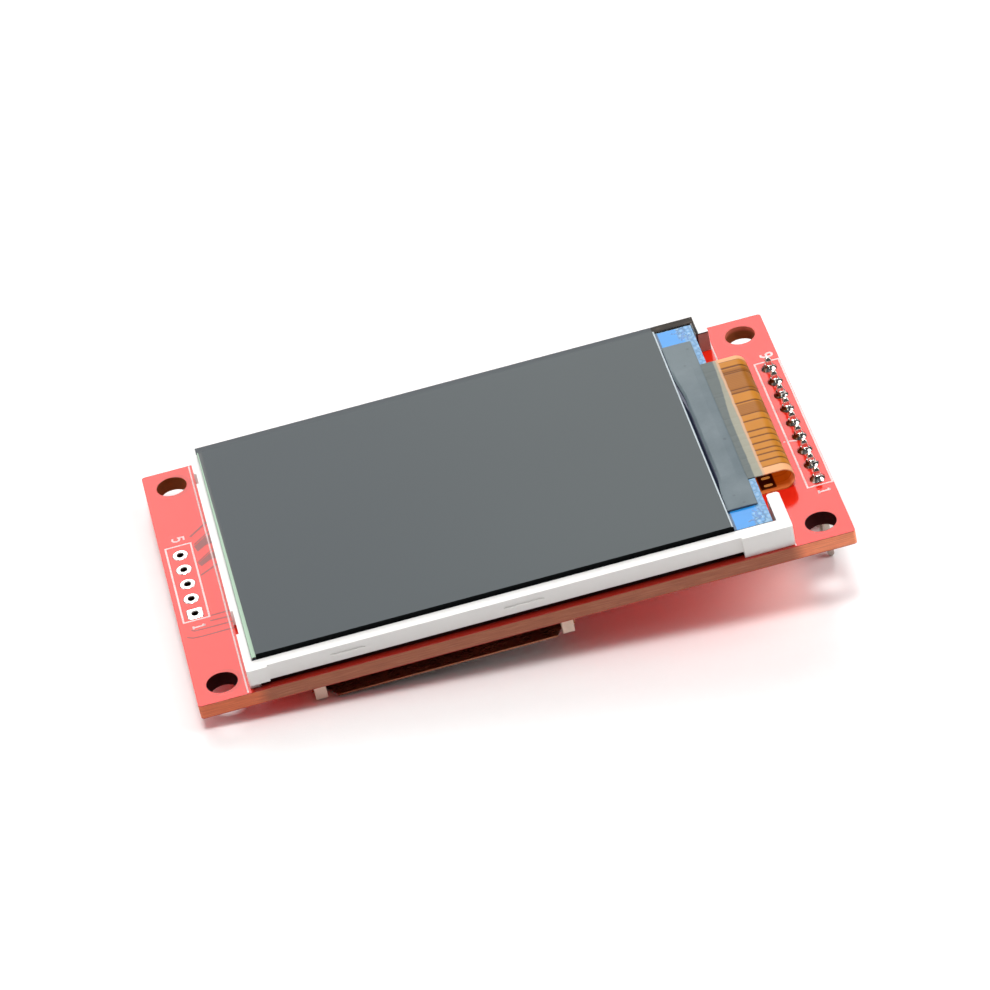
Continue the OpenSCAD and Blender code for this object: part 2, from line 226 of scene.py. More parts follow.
def red_board():
    a = Mat("red_board_mask", rough=0.12, ior=1.5)
    nx, ny, nz = a.normal()
    flat = a.step(a.math("ABSOLUTE", nz), 0.45, 0.65)
    # solder mask: deep red, a touch lighter over the copper pour, duller round the holes where the copper stops
    mask = a.vary((0.80, 0.020, 0.007), 0.05, 0.12, 2.0)
    mask = a.vary(mask, 0.035, 9.0, 2.0)
    halo = None
    for cx, cy in HOLES:
        h = a.band(a.dist(cx, cy), 1.5, 2.05, 0.10)
        halo = h if halo is None else a.either(halo, h)
    for cx, cy in FIVE:
        halo = a.either(halo, a.band(a.dist(cx, cy), 0.78, 1.0, 0.05))
    for cx, cy in NINE:
        halo = a.either(halo, a.band(a.dist(cx, cy), 0.8, 1.02, 0.05))
    mask = a.mix(a.math("MULTIPLY", halo, 0.22), mask, (0.36, 0.030, 0.018))
    # the mask underneath is a little lighter, and from X = 21 to 27 mm on it is painted a darker red, a painted shade;
    # the strip in front of the display is painted dark as the frame's own shade
    mask = a.mix(a.step(nz, -0.4, -0.7), mask, a.mix(a.step(a.x, 21.0, 27.0), (0.90, 0.014, 0.004), (0.50, 0.014, 0.005)))
    frame_shade_paint = a.both(a.band(a.x, -28.0, 27.3, 0.3), a.step(a.y, -18.0, -18.6), a.step(nz, 0.4, 0.7))
    mask = a.mix(frame_shade_paint, mask, a.mix(a.step(a.y, -19.9, -19.0), (0.24, 0.011, 0.005), (0.050, 0.0015, 0.001)))
    # routed edge: glass cloth and resin in thin layers, mask red at both skins
    layers = a.noise(1.0, 3.0, 0.6, a.stretch(0.35, 0.35, 9.0))
    weave = a.noise(5.5, 2.0, 0.6, a.stretch(1.0, 1.0, 0.6))
    fr4 = a.ramp(layers, (0.30, (0.44, 0.115, 0.055)), (0.52, (0.60, 0.165, 0.070)), (0.72, (0.72, 0.24, 0.11)))
    fr4 = a.mix(a.math("MULTIPLY", weave, 0.22), fr4, (0.42, 0.10, 0.05))
    # painted shade and painted light: the edge is painted darker where the frame overhangs it and lighter outside it,
    # most of all at the right end
    shade = a.band(a.x, -27.0, 27.6, 0.9)
    fr4 = a.mix(1.0, fr4, a.mix(shade, a.mix(a.step(a.x, -10.0, 10.0), (1.25, 1.0, 0.85), a.mix(a.step(a.x, 22.0, 28.0), (1.35, 1.45, 1.65), (1.62, 1.74, 1.85))), (0.66, 0.72, 0.78)), "MULTIPLY")
    skin = a.either(a.step(a.z, 1.50, 1.555), a.step(a.z, 0.05, 0.10, 1.0, 0.0))
    edge = a.mix(skin, fr4, (0.42, 0.030, 0.014))
    inside = None
    for cx, cy in HOLES:
        h = a.step(a.dist(cx, cy), 1.75, 1.85, 1.0, 0.0)
        inside = h if inside is None else a.either(inside, h)
    # painted shade and painted light inside the mounting holes: dark walls in the front holes, lighter in the back
    # ones, and a lit patch high in the back right hole
    wall = a.mix(a.step(a.y, -5.0, 5.0), (0.030, 0.004, 0.003), (0.20, 0.042, 0.016))
    lit = a.both(a.step(a.y, -5.0, 5.0), a.step(a.x, -5.0, 5.0), a.step(a.z, 0.7, 1.35))
    wall = a.mix(lit, wall, (0.62, 0.140, 0.085))
    edge = a.mix(inside, edge, a.vary(wall, 0.25, 2.5, 3.0, a.stretch(0.5, 0.5, 3.0)))
    a.color(a.mix(flat, edge, mask))
    a.rough(a.math("ADD", a.math("MULTIPLY", flat, -0.50), a.math("ADD", 0.62, a.math("MULTIPLY", a.noise(1.3, 2.0), 0.03))))
    peel = a.noise(1.6, 1.0, 0.4)
    grain = a.noise(14.0, 3.0, 0.6, a.stretch(1.0, 1.0, 4.0))
    h = a.mix(flat, a.math("MULTIPLY", grain, 1.0), a.math("MULTIPLY", peel, 0.035))
    a.bump(h, 0.35, 0.05)
    return a.m


def white_plastic():
    a = Mat("frame_white", rough=0.38, ior=1.46)
    base = a.vary((0.875, 0.860, 0.840), 0.02, 0.35, 3.0)
    # painted red bounce: just above the board the frame is tinted pink
    base = a.mix(a.math("MULTIPLY", a.step(a.z, 2.0, 1.55), 0.18), base, (0.78, 0.55, 0.50))
    a.color(base)
    a.rough(a.math("ADD", 0.34, a.math("MULTIPLY", a.noise(2.2, 3.0), 0.12)))
    a.bump(a.noise(22.0, 3.0, 0.6), 0.25, 0.012)
    return a.m


def polarizer():
    a = Mat("polarizer_film", rough=0.28, ior=1.38)
    nx, ny, nz = a.normal()
    top = a.step(nz, 0.4, 0.7)
    face = a.mix(a.step(a.x, -26.0, 22.0), (0.020, 0.033, 0.040), (0.038, 0.052, 0.056))
    face = a.vary(face, 0.05, 0.05, 1.0)
    face = a.vary(face, 0.05, 26.0, 1.0)
    a.color(a.mix(top, (0.004, 0.005, 0.006), face))
    a.rough(a.math("ADD", 0.30, a.math("MULTIPLY", a.noise(60.0, 1.0), 0.06)))
    a.bump(a.noise(60.0, 2.0, 0.6), 0.12, 0.004)
    return a.m


def cell_glass():
    a = Mat("cell_glass", rough=0.06, ior=1.40)
    nx, ny, nz = a.normal()
    top = a.step(nz, 0.4, 0.7)
    right = a.step(nx, 0.5, 0.8)
    left = a.step(nx, -0.5, -0.8)
    # rim of bare glass left of the film is pale green, as is the left end face; the front and back margins are dark,
    # partly the glass's black edge and partly painted shadow; the margin right of the film and the right end face are
    # pale painted highlights; the long ground faces are painted nearly black, a painted shade
    green = a.vary((0.34, 0.50, 0.36), 0.16, 0.9, 3.0, a.stretch(1.0, 0.12, 1.0))
    right_rim = a.mix(a.step(a.x, 21.90, 21.93), a.vary((0.50, 0.58, 0.62), 0.25, 0.8, 3.0), (0.006, 0.010, 0.030))
    lean = a.math("MULTIPLY_ADD", a.y, 0.0094, a.x)
    rim = a.mix(a.step(lean, -26.98, -26.94), green, (0.035, 0.045, 0.048))
    rim = a.mix(a.step(a.x, 10.0, 20.0), rim, right_rim)
    side = a.vary((0.003, 0.004, 0.004), 0.3, 1.4, 3.0)
    side = a.mix(left, side, (0.42, 0.54, 0.44))
    side = a.mix(right, side, (0.55, 0.65, 0.74))
    a.color(a.mix(top, side, rim))
    a.rough(a.math("ADD", a.math("MULTIPLY", top, -0.16), a.math("ADD", 0.22, a.math("MULTIPLY", a.noise(9.0, 2.0), 0.05))))
    a.bump(a.noise(18.0, 3.0, 0.6, a.stretch(0.4, 0.4, 2.0)), 0.15, 0.01)
    return a.m


def ledge_glass():
    a = Mat("ledge_glass", rough=0.06, ior=1.43)
    nx, ny, nz = a.normal()
    top = a.step(nz, 0.4, 0.7)
    blue = a.vary((0.022, 0.270, 0.70), 0.08, 0.35, 2.0)
    edge = a.mix(a.noise(2.2, 3.0, 0.6), (0.06, 0.22, 0.46), (0.22, 0.42, 0.62))
    face = a.mix(a.step(a.x, 24.55, 24.95), blue, edge)
    # etched pattern and glue beyond the tape: pale blots with dark edges
    blots = a.cells(1.9, a.stretch(1.0, 0.8, 1.0))
    pattern = a.ramp(blots, (0.10, (0.34, 0.52, 0.66)), (0.42, (0.10, 0.32, 0.62)), (0.62, (0.035, 0.13, 0.30)), (0.80, (0.20, 0.40, 0.58)))
    zone = a.both(a.band(a.x, 24.15, 25.5, 0.12), a.step(a.math("ABSOLUTE", a.y), 15.6, 16.3))
    zone = a.either(zone, a.math("MULTIPLY", a.step(a.x, 25.15, 25.3), 0.55))
    face = a.mix(zone, face, pattern)
    # painted highlight: a pale strip along the right end of the ledge
    face = a.mix(a.step(a.x, 25.82, 25.88), face, (0.60, 0.70, 0.74))
    # painted shadow: the gap between the upper glass and the tape is painted dark navy, a little lighter towards the
    # tape's ends
    ends = a.step(a.math("ABSOLUTE", a.y), 14.75, 15.0)
    gap = a.band(a.math("MULTIPLY_ADD", ends, 0.20, a.x), 21.9, 22.40, 0.05)
    face = a.mix(gap, face, a.mix(ends, (0.006, 0.016, 0.060), (0.030, 0.085, 0.170)))
    # painted shadow under the frame's rim: the back edge of the ledge is painted near black, with pale blue painted
    # highlights
    face = a.mix(a.step(a.y, 17.88, 17.96), face, a.mix(a.step(blots, 0.35, 0.6), (0.20, 0.40, 0.55), (0.010, 0.014, 0.022)))
    # the right end face is painted pale, a painted highlight; the other side faces are dark
    side = a.mix(a.step(nx, 0.5, 0.8), (0.030, 0.045, 0.060), (0.34, 0.46, 0.56))
    a.color(a.mix(top, side, face))
    a.bump(a.both(blots, zone), 0.3, 0.01)
    return a.m


def grey_tape():
    a = Mat("driver_tape_film", rough=0.42, ior=1.36)
    n = a.noise(0.35, 3.0, 0.55)
    c = a.ramp(n, (0.25, (0.108, 0.144, 0.162)), (0.55, (0.134, 0.172, 0.191)), (0.80, (0.160, 0.199, 0.217)))
    c = a.mix(a.math("MULTIPLY", a.step(a.y, 2.0, 12.0), 0.35), c, (0.190, 0.230, 0.240))
    c = a.mix(a.math("MULTIPLY", a.step(a.cells(0.45), 0.05, 0.12, 1.0, 0.0), 0.4), c, (0.05, 0.06, 0.08))
    # painted shadow line: the two ends of the tape are painted darker
    edge = a.either(a.step(a.y, -14.78, -14.86), a.step(a.y, 14.82, 14.88))
    c = a.mix(a.math("MULTIPLY", edge, 0.7), c, (0.05, 0.07, 0.11))
    a.color(a.vary(c, 0.04, 6.0, 2.0))
    a.rough(a.math("ADD", 0.36, a.math("MULTIPLY", a.noise(0.8, 3.0), 0.14)))
    a.bump(a.noise(0.9, 3.0, 0.5), 0.5, 0.03)
    return a.m


ORANGE = (0.550, 0.208, 0.019)
BROWN = (0.375, 0.132, 0.014)
DEEP = (0.130, 0.034, 0.003)
PEACH = (0.84, 0.42, 0.20)


def amber_film():
    a = Mat("flex_film", rough=0.42, ior=1.28)
    y = a.y
    c = a.vary(ORANGE, 0.07, 0.7, 2.0)
    brown = a.either(a.band(y, 4.1, 8.4, 0.10), a.band(y, 0.0, 1.95, 0.12))
    c = a.mix(brown, c, a.vary(BROWN, 0.06, 0.8, 2.0))
    # closely spaced conductors seen inside the two brown bands
    fine = a.step(a.math("SINE", a.math("MULTIPLY", y, 22.0)), 0.0, 0.9)
    c = a.mix(a.math("MULTIPLY", a.both(fine, brown), 0.30), c, (0.22, 0.075, 0.016))
    dark = None
    for yc, w in [(8.72, .10), (7.88, .05), (7.60, .05), (4.62, .06), (4.02, .08), (2.25, .08), (0.05, .05), (-1.15, .07),
                  (-2.95, .08), (-4.0, .07), (-5.15, .08), (-6.3, .07), (-7.15, .07), (-8.25, .08), (-9.33, .04), (9.88, .04)]:
        b = a.band(y, yc - 1.5 * w, yc + 1.5 * w, 0.10)
        dark = b if dark is None else a.either(dark, b)
    c = a.mix(a.math("MULTIPLY", dark, 0.97), c, DEEP)
    rim = a.either(a.step(y, 9.85, 9.95), a.step(y, -9.32, -9.42))
    c = a.mix(rim, c, a.vary(PEACH, 0.04, 1.2, 2.0))
    up = a.step(a.z, 3.3, 3.6)
    # bonded end: bare film over the glass edge, then a translucent strip, then the covered conductors
    wob = a.math("ADD", a.x, a.math("MULTIPLY", a.math("SUBTRACT", a.noise(0.5, 2.0), 0.5), 0.22))
    seam = a.math("ADD", wob, a.step(y, 9.5, -1.5, 0.38, 0.94))
    bond = a.both(up, a.step(seam, 26.74, 26.88, 1.0, 0.0))
    pale = a.both(up, a.step(wob, 26.86, 27.0, 1.0, 0.0))
    c = a.mix(pale, c, a.mix(a.step(wob, 26.62, 26.76), a.vary((0.335, 0.325, 0.255), 0.08, 1.6, 3.0), (0.62, 0.38, 0.235)))
    c = a.mix(bond, c, a.vary((0.128, 0.150, 0.146), 0.10, 1.2, 3.0))
    # painted shade: the lower run of the film and the bottom of its fold are painted darker
    lowz = a.step(a.z, 2.3, 1.9)
    c = a.mix(a.math("MULTIPLY", lowz, 0.80), c, (0.40, 0.085, 0.006))
    patch = a.both(lowz, a.rect(26.35, 27.95, -9.95, -7.5, 0.08))
    c = a.mix(patch, c, (0.110, 0.030, 0.006))
    a.color(c)
    # painted glow: the bent film is given emission, standing in for light that comes through it
    nx, ny, nz = a.normal()
    glow = a.both(a.step(a.z, 2.9, 2.4), a.step(nz, -0.2, 0.3), a.step(a.x, 25.0, 26.0), a.math("SUBTRACT", 1.0, patch))
    a.put(a.mix(glow, (0.0, 0.0, 0.0), (0.235, 0.032, 0.001)), a.p.inputs["Emission Color"])
    a.p.inputs["Emission Strength"].default_value = 1.0
    a.rough(a.math("ADD", 0.36, a.math("MULTIPLY", a.noise(1.2, 3.0), 0.12)))
    a.bump(a.noise(0.9, 2.0, 0.5), 0.35, 0.03)
    return a.m


def metal(name, color, rough, scale=3.0, streak=None, amount=0.08, rvar=0.12, bump=0.1, dist=0.01):
    a = Mat(name, color, rough, metal=1.0)
    vec = a.stretch(*streak) if streak else None
    a.color(a.vary(color, amount, scale, 3.0, vec))
    a.rough(a.math("ADD", rough - rvar / 2, a.math("MULTIPLY", a.noise(scale * 1.7, 3.0, 0.6, vec), rvar)))
    a.bump(a.noise(scale * 2.5, 3.0, 0.6, vec), bump, dist)
    return a.m


def pin_metal():
    # tinned above the header's plastic, darker on the free ends below it
    a = Mat("pin_tin", rough=0.22, metal=1.0)
    vec = a.stretch(1.0, 1.0, 0.15)
    c = a.mix(a.step(a.z, -2.4, -3.2), (0.80, 0.77, 0.72), (0.46, 0.42, 0.36))
    a.color(a.vary(c, 0.08, 2.5, 3.0, vec))
    a.rough(a.math("ADD", 0.16, a.math("MULTIPLY", a.noise(4.25, 3.0, 0.6, vec), 0.12)))
    a.bump(a.noise(6.25, 3.0, 0.6, vec), 0.1, 0.01)
    return a.m


def plain(name, color, rough, scale=2.0, amount=0.05, ior=1.5, bump=0.2, dist=0.015, grain=12.0, coat=0.0, streak=None):
    a = Mat(name, color, rough, ior=ior, coat=coat)
    vec = a.stretch(*streak) if streak else None
    a.color(a.vary(color, amount, scale, 3.0, vec))
    a.rough(a.math("ADD", rough - 0.04, a.math("MULTIPLY", a.noise(scale * 2.0, 3.0, 0.6, vec), 0.08)))
    a.bump(a.noise(grain, 3.0, 0.6, vec), bump, dist)
    return a.m


def resistor():
    a = Mat("resistor_body", rough=0.35)
    c = a.mix(a.step(a.z, -0.30, -0.36), (0.86, 0.85, 0.82), (0.018, 0.018, 0.022))
    a.color(a.vary(c, 0.06, 4.0, 2.0))
    a.bump(a.noise(16.0, 2.0), 0.2, 0.01)
    return a.m


def socket_beige():
    a = Mat("socket_plastic", rough=0.42, ior=1.5)
    c = a.vary((0.62, 0.50, 0.36), 0.06, 0.8, 3.0)
    nx, ny, nz = a.normal()
    # painted light: faces turned toward -Y are painted lighter than the others
    c = a.mix(a.step(ny, -0.5, -0.8), c, (0.88, 0.73, 0.58))
    a.color(a.vary(c, 0.04, 11.0, 2.0))
    a.rough(a.math("ADD", 0.38, a.math("MULTIPLY", a.noise(3.0, 3.0), 0.12)))
    a.bump(a.noise(16.0, 3.0, 0.6), 0.3, 0.02)
    return a.m


def socket_steel():
    a = Mat("socket_sheet", rough=0.28, metal=1.0)
    nx, ny, nz = a.normal()
    vec = a.stretch(0.15, 1.0, 1.0)
    c = a.vary((0.58, 0.57, 0.56), 0.06, 3.0, 3.0, vec)
    # inside faces are painted dark reddish, a painted shade with red bounce from the board; the cut lip is painted
    # brown, a painted reflection of the board
    inner = a.both(a.step(nz, 0.4, 0.7), a.step(a.z, -1.2, -1.6))
    c = a.mix(inner, c, (0.30, 0.085, 0.055))
    lip = a.both(a.step(ny, -0.5, -0.8), a.step(a.y, -10.0, -12.0))
    c = a.mix(lip, c, (0.30, 0.125, 0.070))
    a.color(c)
    a.rough(a.math("ADD", 0.22, a.math("MULTIPLY", a.noise(5.0, 3.0, 0.6, vec), 0.12)))
    a.bump(a.noise(7.5, 3.0, 0.6, vec), 0.05, 0.01)
    return a.m


def silk():
    a = Mat("silk_ink", rough=0.55, ior=1.45)
    c = a.mix(a.step(a.noise(5.0, 4.0, 0.65), 0.30, 0.52), (0.80, 0.44, 0.42), (0.90, 0.72, 0.71))
    a.color(c)
    a.bump(a.noise(14.0, 3.0, 0.6), 0.4, 0.01)
    return a.m


def edge_tape_mat():
    a = Mat("edge_tape_film", rough=0.40, ior=1.17)
    n = a.noise(0.8, 4.0, 0.6, a.stretch(0.6, 1.6, 1.0))
    c = a.ramp(n, (0.30, (0.012, 0.010, 0.009)), (0.55, (0.036, 0.027, 0.020)), (0.80, (0.12, 0.088, 0.062)))
    c = a.mix(a.both(a.step(a.y, 17.35, 17.2), a.step(a.z, 3.9, 3.95)), c, (0.008, 0.007, 0.007))
    tail = a.both(a.step(a.x, 25.9, 25.95), a.step(a.z, 3.90, 3.86))
    c = a.mix(tail, c, a.vary((0.46, 0.24, 0.20), 0.30, 1.0, 3.0))
    c = a.mix(a.both(tail, a.step(a.x, 26.20, 26.08)), c, (0.010, 0.008, 0.008))
    beside = a.both(a.step(a.x, 21.85, 21.70), a.step(a.z, 3.9, 3.95), a.step(a.y, 17.2, 17.35))
    c = a.mix(beside, c, a.vary((0.085, 0.096, 0.103), 0.05, 0.3, 2.0))
    a.color(c)
    a.rough(a.math("ADD", 0.22, a.math("MULTIPLY", a.noise(2.0, 3.0), 0.2)))
    a.bump(a.noise(1.6, 3.0, 0.6), 0.5, 0.03)
    return a.m


def prism_mat():
    a = Mat("prism_film", rough=0.2, ior=1.55)
    a.color(a.vary((0.72, 0.74, 0.76), 0.04, 1.0, 2.0))
    a.bump(a.math("ABSOLUTE", a.math("SINE", a.math("MULTIPLY", a.y, 40.0))), 0.4, 0.02)
    return a.m


def pad_metal():
    a = Mat("pad_tin", rough=0.24, metal=1.0)
    c = a.vary((0.90, 0.90, 0.88), 0.04, 2.0, 3.0)
    # painted shade: the bore of each hole is painted dark reddish brown
    bore = None
    for cx, cy in FIVE:
        h = a.step(a.dist(cx, cy), 0.335, 0.37, 1.0, 0.0)
        bore = h if bore is None else a.either(bore, h)
    a.color(a.mix(bore, c, (0.10, 0.045, 0.035)))
    a.rough(a.math("ADD", 0.18, a.math("MULTIPLY", a.noise(3.4, 3.0, 0.6), 0.14)))
    a.bump(a.noise(5.0, 3.0, 0.6), 0.3, 0.03)
    return a.m


def solder_mat():
    a = Mat("solder_metal", rough=0.20, metal=1.0)
    c = a.vary((0.80, 0.79, 0.76), 0.08, 2.2, 3.0)
    flux = a.math("MULTIPLY", a.step(a.z, 1.78, 1.64), a.step(a.noise(1.5, 3.0, 0.6), 0.45, 0.62))
    c = a.mix(a.math("MULTIPLY", flux, 0.6), c, (0.30, 0.17, 0.08))
    # the left-facing side of each joint is painted dark brown, a painted reflection
    nx, ny, nz = a.normal()
    left_side_reflection = a.both(a.step(nx, -0.10, -0.45), a.step(a.z, 1.6, 1.7))
    a.color(a.mix(a.math("MULTIPLY", left_side_reflection, 0.85), c, (0.16, 0.075, 0.050)))
    a.rough(a.math("ADD", 0.10, a.math("MULTIPLY", a.noise(3.0, 3.0, 0.6), 0.16)))
    a.bump(a.noise(2.6, 2.0, 0.5), 0.25, 0.05)
    return a.m


MATS = {
    "red_board": red_board(),
    "white_plastic": white_plastic(),
    "reflector_white": plain("reflector_film", (0.90, 0.90, 0.89), 0.35, 1.0, 0.02),
    "clear_acrylic": plain("guide_acrylic", (0.80, 0.84, 0.84), 0.12, 0.5, 0.03, ior=1.49, bump=0.1, grain=6.0),
    "diffuser": plain("diffuser_film_mat", (0.86, 0.87, 0.87), 0.6, 1.0, 0.02, grain=30.0),
    "prism": prism_mat(),
    "black_tape": edge_tape_mat(),
    "polarizer_grey": polarizer(),
    "cell_glass": cell_glass(),
    "ledge_glass": ledge_glass(),
    "silicon": plain("die_silicon", (0.030, 0.032, 0.036), 0.12, 1.0, 0.10, bump=0.1),
    "grey_tape": grey_tape(),
    "amber_film": amber_film(),
    "led_white": plain("led_package", (0.85, 0.80, 0.50), 0.35, 1.5, 0.05),
    "foam_tape": plain("foam_cells", (0.80, 0.80, 0.77), 0.85, 3.0, 0.10, bump=0.8, dist=0.08, grain=5.0),
    "black_plastic": plain("header_plastic", (0.014, 0.014, 0.016), 0.42, 2.0, 0.15, bump=0.35, dist=0.03),
    "pins": pin_metal(),
    "solder": solder_mat(),
    "beige_plastic": socket_beige(),
    "socket_steel": socket_steel(),
    "spring_gold": metal("contact_gold", (0.83, 0.60, 0.27), 0.24, 3.0, (1.0, 0.2, 1.0)),
    "epoxy_black": plain("package_epoxy", (0.020, 0.020, 0.022), 0.5, 4.0, 0.12, bump=0.4, dist=0.03, grain=10.0),
    "tinned_lead": metal("lead_tin", (0.74, 0.73, 0.71), 0.30, 3.0),
    "resistor_black": resistor(),
    "capacitor_tan": plain("capacitor_ceramic", (0.38, 0.25, 0.14), 0.45, 2.0, 0.08),
    "silkscreen": silk(),
    "pad_metal": pad_metal(),
}
for m_slot in frame["record"]["materials"]:
    if m_slot["slot"] in ("gold_pins", "tinned_pins"):
        MATS[m_slot["slot"]] = MATS["pins"]


# ---------------------------------------------------------------- mesh helpers
class Buf:
    """Collects closed shapes, in millimetres, into one mesh."""

    def __init__(self):
        self.v, self.f = [], []

    def add(self, verts, faces):
        n = len(self.v)
        self.v.extend(verts)
        self.f.extend(tuple(i + n for i in f) for f in faces)

    def ribbon(self, pts, w, z0, z1, closed=False):
        """A flat strip along a polyline, with mitred corners, from z0 to z1. Its top is a little narrower than its foot."""
        n = len(pts)
        P = [Vector(p) for p in pts]
        ring = []
        for i in range(n):
            a = P[i - 1] if (i > 0 or closed) else None
            b = P[(i + 1) % n] if (i < n - 1 or closed) else None
            d1 = (P[i] - a).normalized() if a is not None else None
            d2 = (b - P[i]).normalized() if b is not None else None
            if d1 is None:
                d1 = d2
            if d2 is None:
                d2 = d1
            nrm = Vector((-(d1 + d2).y, (d1 + d2).x))
            nrm = nrm.normalized() if nrm.length > 1e-6 else Vector((-d1.y, d1.x))
            k = 1.0 / max(0.35, nrm.dot(Vector((-d1.y, d1.x))))
            ring.append((P[i], nrm * k))
        vs, fs = [], []
        inset = min(0.25 * w, abs(z1 - z0) * 0.8)
        for p, m in ring:
            for s, z, hw in ((-1, z0, w / 2), (1, z0, w / 2), (1, z1, w / 2 - inset), (-1, z1, w / 2 - inset)):
                q = p + m * (s * hw)
                vs.append((q.x, q.y, z))
        for i in range(n if closed else n - 1):
            j = (i + 1) % n
            a, b = 4 * i, 4 * j
            for k in range(4):
                fs.append((a + k, a + (k + 1) % 4, b + (k + 1) % 4, b + k))
        if not closed:
            fs.append((0, 3, 2, 1))
            e = 4 * (n - 1)
            fs.append((e, e + 1, e + 2, e + 3))
        self.add(vs, fs)

    def lathe(self, cx, cy, prof, seg=32, wob=None, square=False):
        """A closed ring or solid from (r, z) points round a vertical axis. A radius of 0 closes it."""
        vs, fs, idx = [], [], []
        for k, (r, z) in enumerate(prof):
            if r <= 1e-9:
                idx.append([len(vs)] * seg)
                vs.append((cx, cy, z))
                continue
            row = []
            for i in range(seg):
                t = 2 * math.pi * (i + 0.5) / seg
                rr = r * (wob(k, t) if wob else 1.0)
                if square:
                    rr = rr / max(abs(math.cos(t)), abs(math.sin(t)))
                row.append(len(vs))
                vs.append((cx + rr * math.cos(t), cy + rr * math.sin(t), z))
            idx.append(row)
        n = len(prof)
        loop = prof[0][0] > 1e-9 and prof[-1][0] > 1e-9
        for k in range(n if loop else n - 1):
            a, b = idx[k], idx[(k + 1) % n]
            for i in range(seg):
                j = (i + 1) % seg
                q = [a[i], a[j], b[j], b[i]]
                q = [t for m, t in enumerate(q) if t not in q[:m]]
                if len(q) >= 3:
                    fs.append(tuple(q))
        self.add(vs, fs)

    def prism(self, pts, z0, z1):
        n = len(pts)
        vs = [(x, y, z0) for x, y in pts] + [(x, y, z1) for x, y in pts]
        fs = [tuple(range(n - 1, -1, -1)), tuple(range(n, 2 * n))]
        fs += [(i, (i + 1) % n, n + (i + 1) % n, n + i) for i in range(n)]
        self.add(vs, fs)

    def block(self, lo, hi):
        self.prism([(lo[0], lo[1]), (hi[0], lo[1]), (hi[0], hi[1]), (lo[0], hi[1])], lo[2], hi[2])

    def object(self, name, mat, smooth=True, angle=35.0):
        me = bpy.data.meshes.new(name)
        me.from_pydata([(x * MM, y * MM, z * MM) for x, y, z in self.v], [], self.f)
        me.validate()
        bm = bmesh.new()
        bm.from_mesh(me)
        bmesh.ops.remove_doubles(bm, verts=bm.verts, dist=1e-7)
        bmesh.ops.recalc_face_normals(bm, faces=bm.faces)
        bm.to_mesh(me)
        bm.free()
        me.materials.append(mat)
        o = bpy.data.objects.new(name, me)
        scene.collection.objects.link(o)
        if smooth:
            me.shade_smooth()
            me.set_sharp_from_angle(angle=math.radians(angle))
        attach(o, "root")
        return o


def bevel(o, width, segments=2, angle=30.0):
    b = o.modifiers.new("edge_round", "BEVEL")
    b.width = width * MM
    b.segments = segments
    b.limit_method = "ANGLE"
    b.angle_limit = math.radians(angle)
    b.harden_normals = False
    b.use_clamp_overlap = True
    w = o.modifiers.new("face_normals", "WEIGHTED_NORMAL")
    w.keep_sharp = False
    w.weight = 80
    return o


def soften(node, width, segments=2, angle=30.0):
    """Rounds the edges of a CAD node with modifiers alone: its own mesh stays as packed."""
    o = NODES[node]
    w = o.modifiers.new("weld", "WELD")
    w.merge_threshold = 1e-6
    d = o.modifiers.new("planar", "DECIMATE")
    d.decimate_type = "DISSOLVE"
    d.angle_limit = math.radians(0.5)
    return bevel(o, width, segments, angle)


for node, o in NODES.items():
    name = next(s["material_slot"] for s in frame["record"]["subparts"] if s["node"] == node)
    o.data.materials.clear()
    o.data.materials.append(MATS[name])

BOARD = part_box("pcb")[1].z / MM


# ---------------------------------------------------------------- board print, traces and pads
GLYPHS = {
    "1": [[(0.02, 0.36), (1.22, 0.36)], [(1.22, 0.36), (0.98, 0.10)], [(0.02, 0.12), (0.02, 0.60)]],
    "5": [[(1.22, 0.66), (1.22, 0.10), (0.70, 0.10), (0.80, 0.36), (0.72, 0.58), (0.46, 0.68), (0.18, 0.60), (0.03, 0.36), (0.10, 0.06)]],
    "9": [[(0.62, 0.56), (0.62, 0.20), (0.78, 0.06), (1.06, 0.06), (1.22, 0.22), (1.22, 0.50), (1.06, 0.66), (0.30, 0.66), (0.04, 0.44), (0.04, 0.14)]],
}


def digit(buf, ch, x, y, z0, z1, w=0.17, flip=1):
    for stroke in GLYPHS[ch]:
        buf.ribbon([(x + a, y - flip * (b - 0.36)) for a, b in stroke], w, z0, z1)


INK0, INK1 = BOARD + 0.002, BOARD + 0.022
ink = Buf()
ink.ribbon([(-32.88, 6.72), (-30.22, 6.72), (-30.22, -6.2), (-32.88, -6.2)], 0.19, INK0, INK1, True)
ink.ribbon([(30.8, 11.37), (33.38, 11.37), (33.38, -11.3), (30.8, -11.3)], 0.19, INK0, INK1, True)
ink.ribbon([(30.92, -2.95), (31.75, -3.2)], 0.2, INK0, INK1)
ink.ribbon([(30.36, -2.86), (30.56, -2.92)], 0.2, INK0, INK1)
ink.ribbon([(-28.42, -19.86), (-28.42, 19.86)], 0.17, INK0, INK1)
ink.ribbon([(27.42, -19.86), (27.42, 19.86)], 0.15, INK0, INK1)
ink.ribbon([(-26.8, 19.83), (25.0, 19.83)], 0.15, INK0, INK1)
digit(ink, "5", -32.02, 7.82, INK0, INK1, 0.2)
digit(ink, "1", -32.06, -7.38, INK0, INK1, 0.2)
digit(ink, "9", 31.72, 12.5, INK0, INK1, 0.24)
digit(ink, "1", 31.66, -12.45, INK0, INK1, 0.2)
ink.object("board_print_top", MATS["silkscreen"])

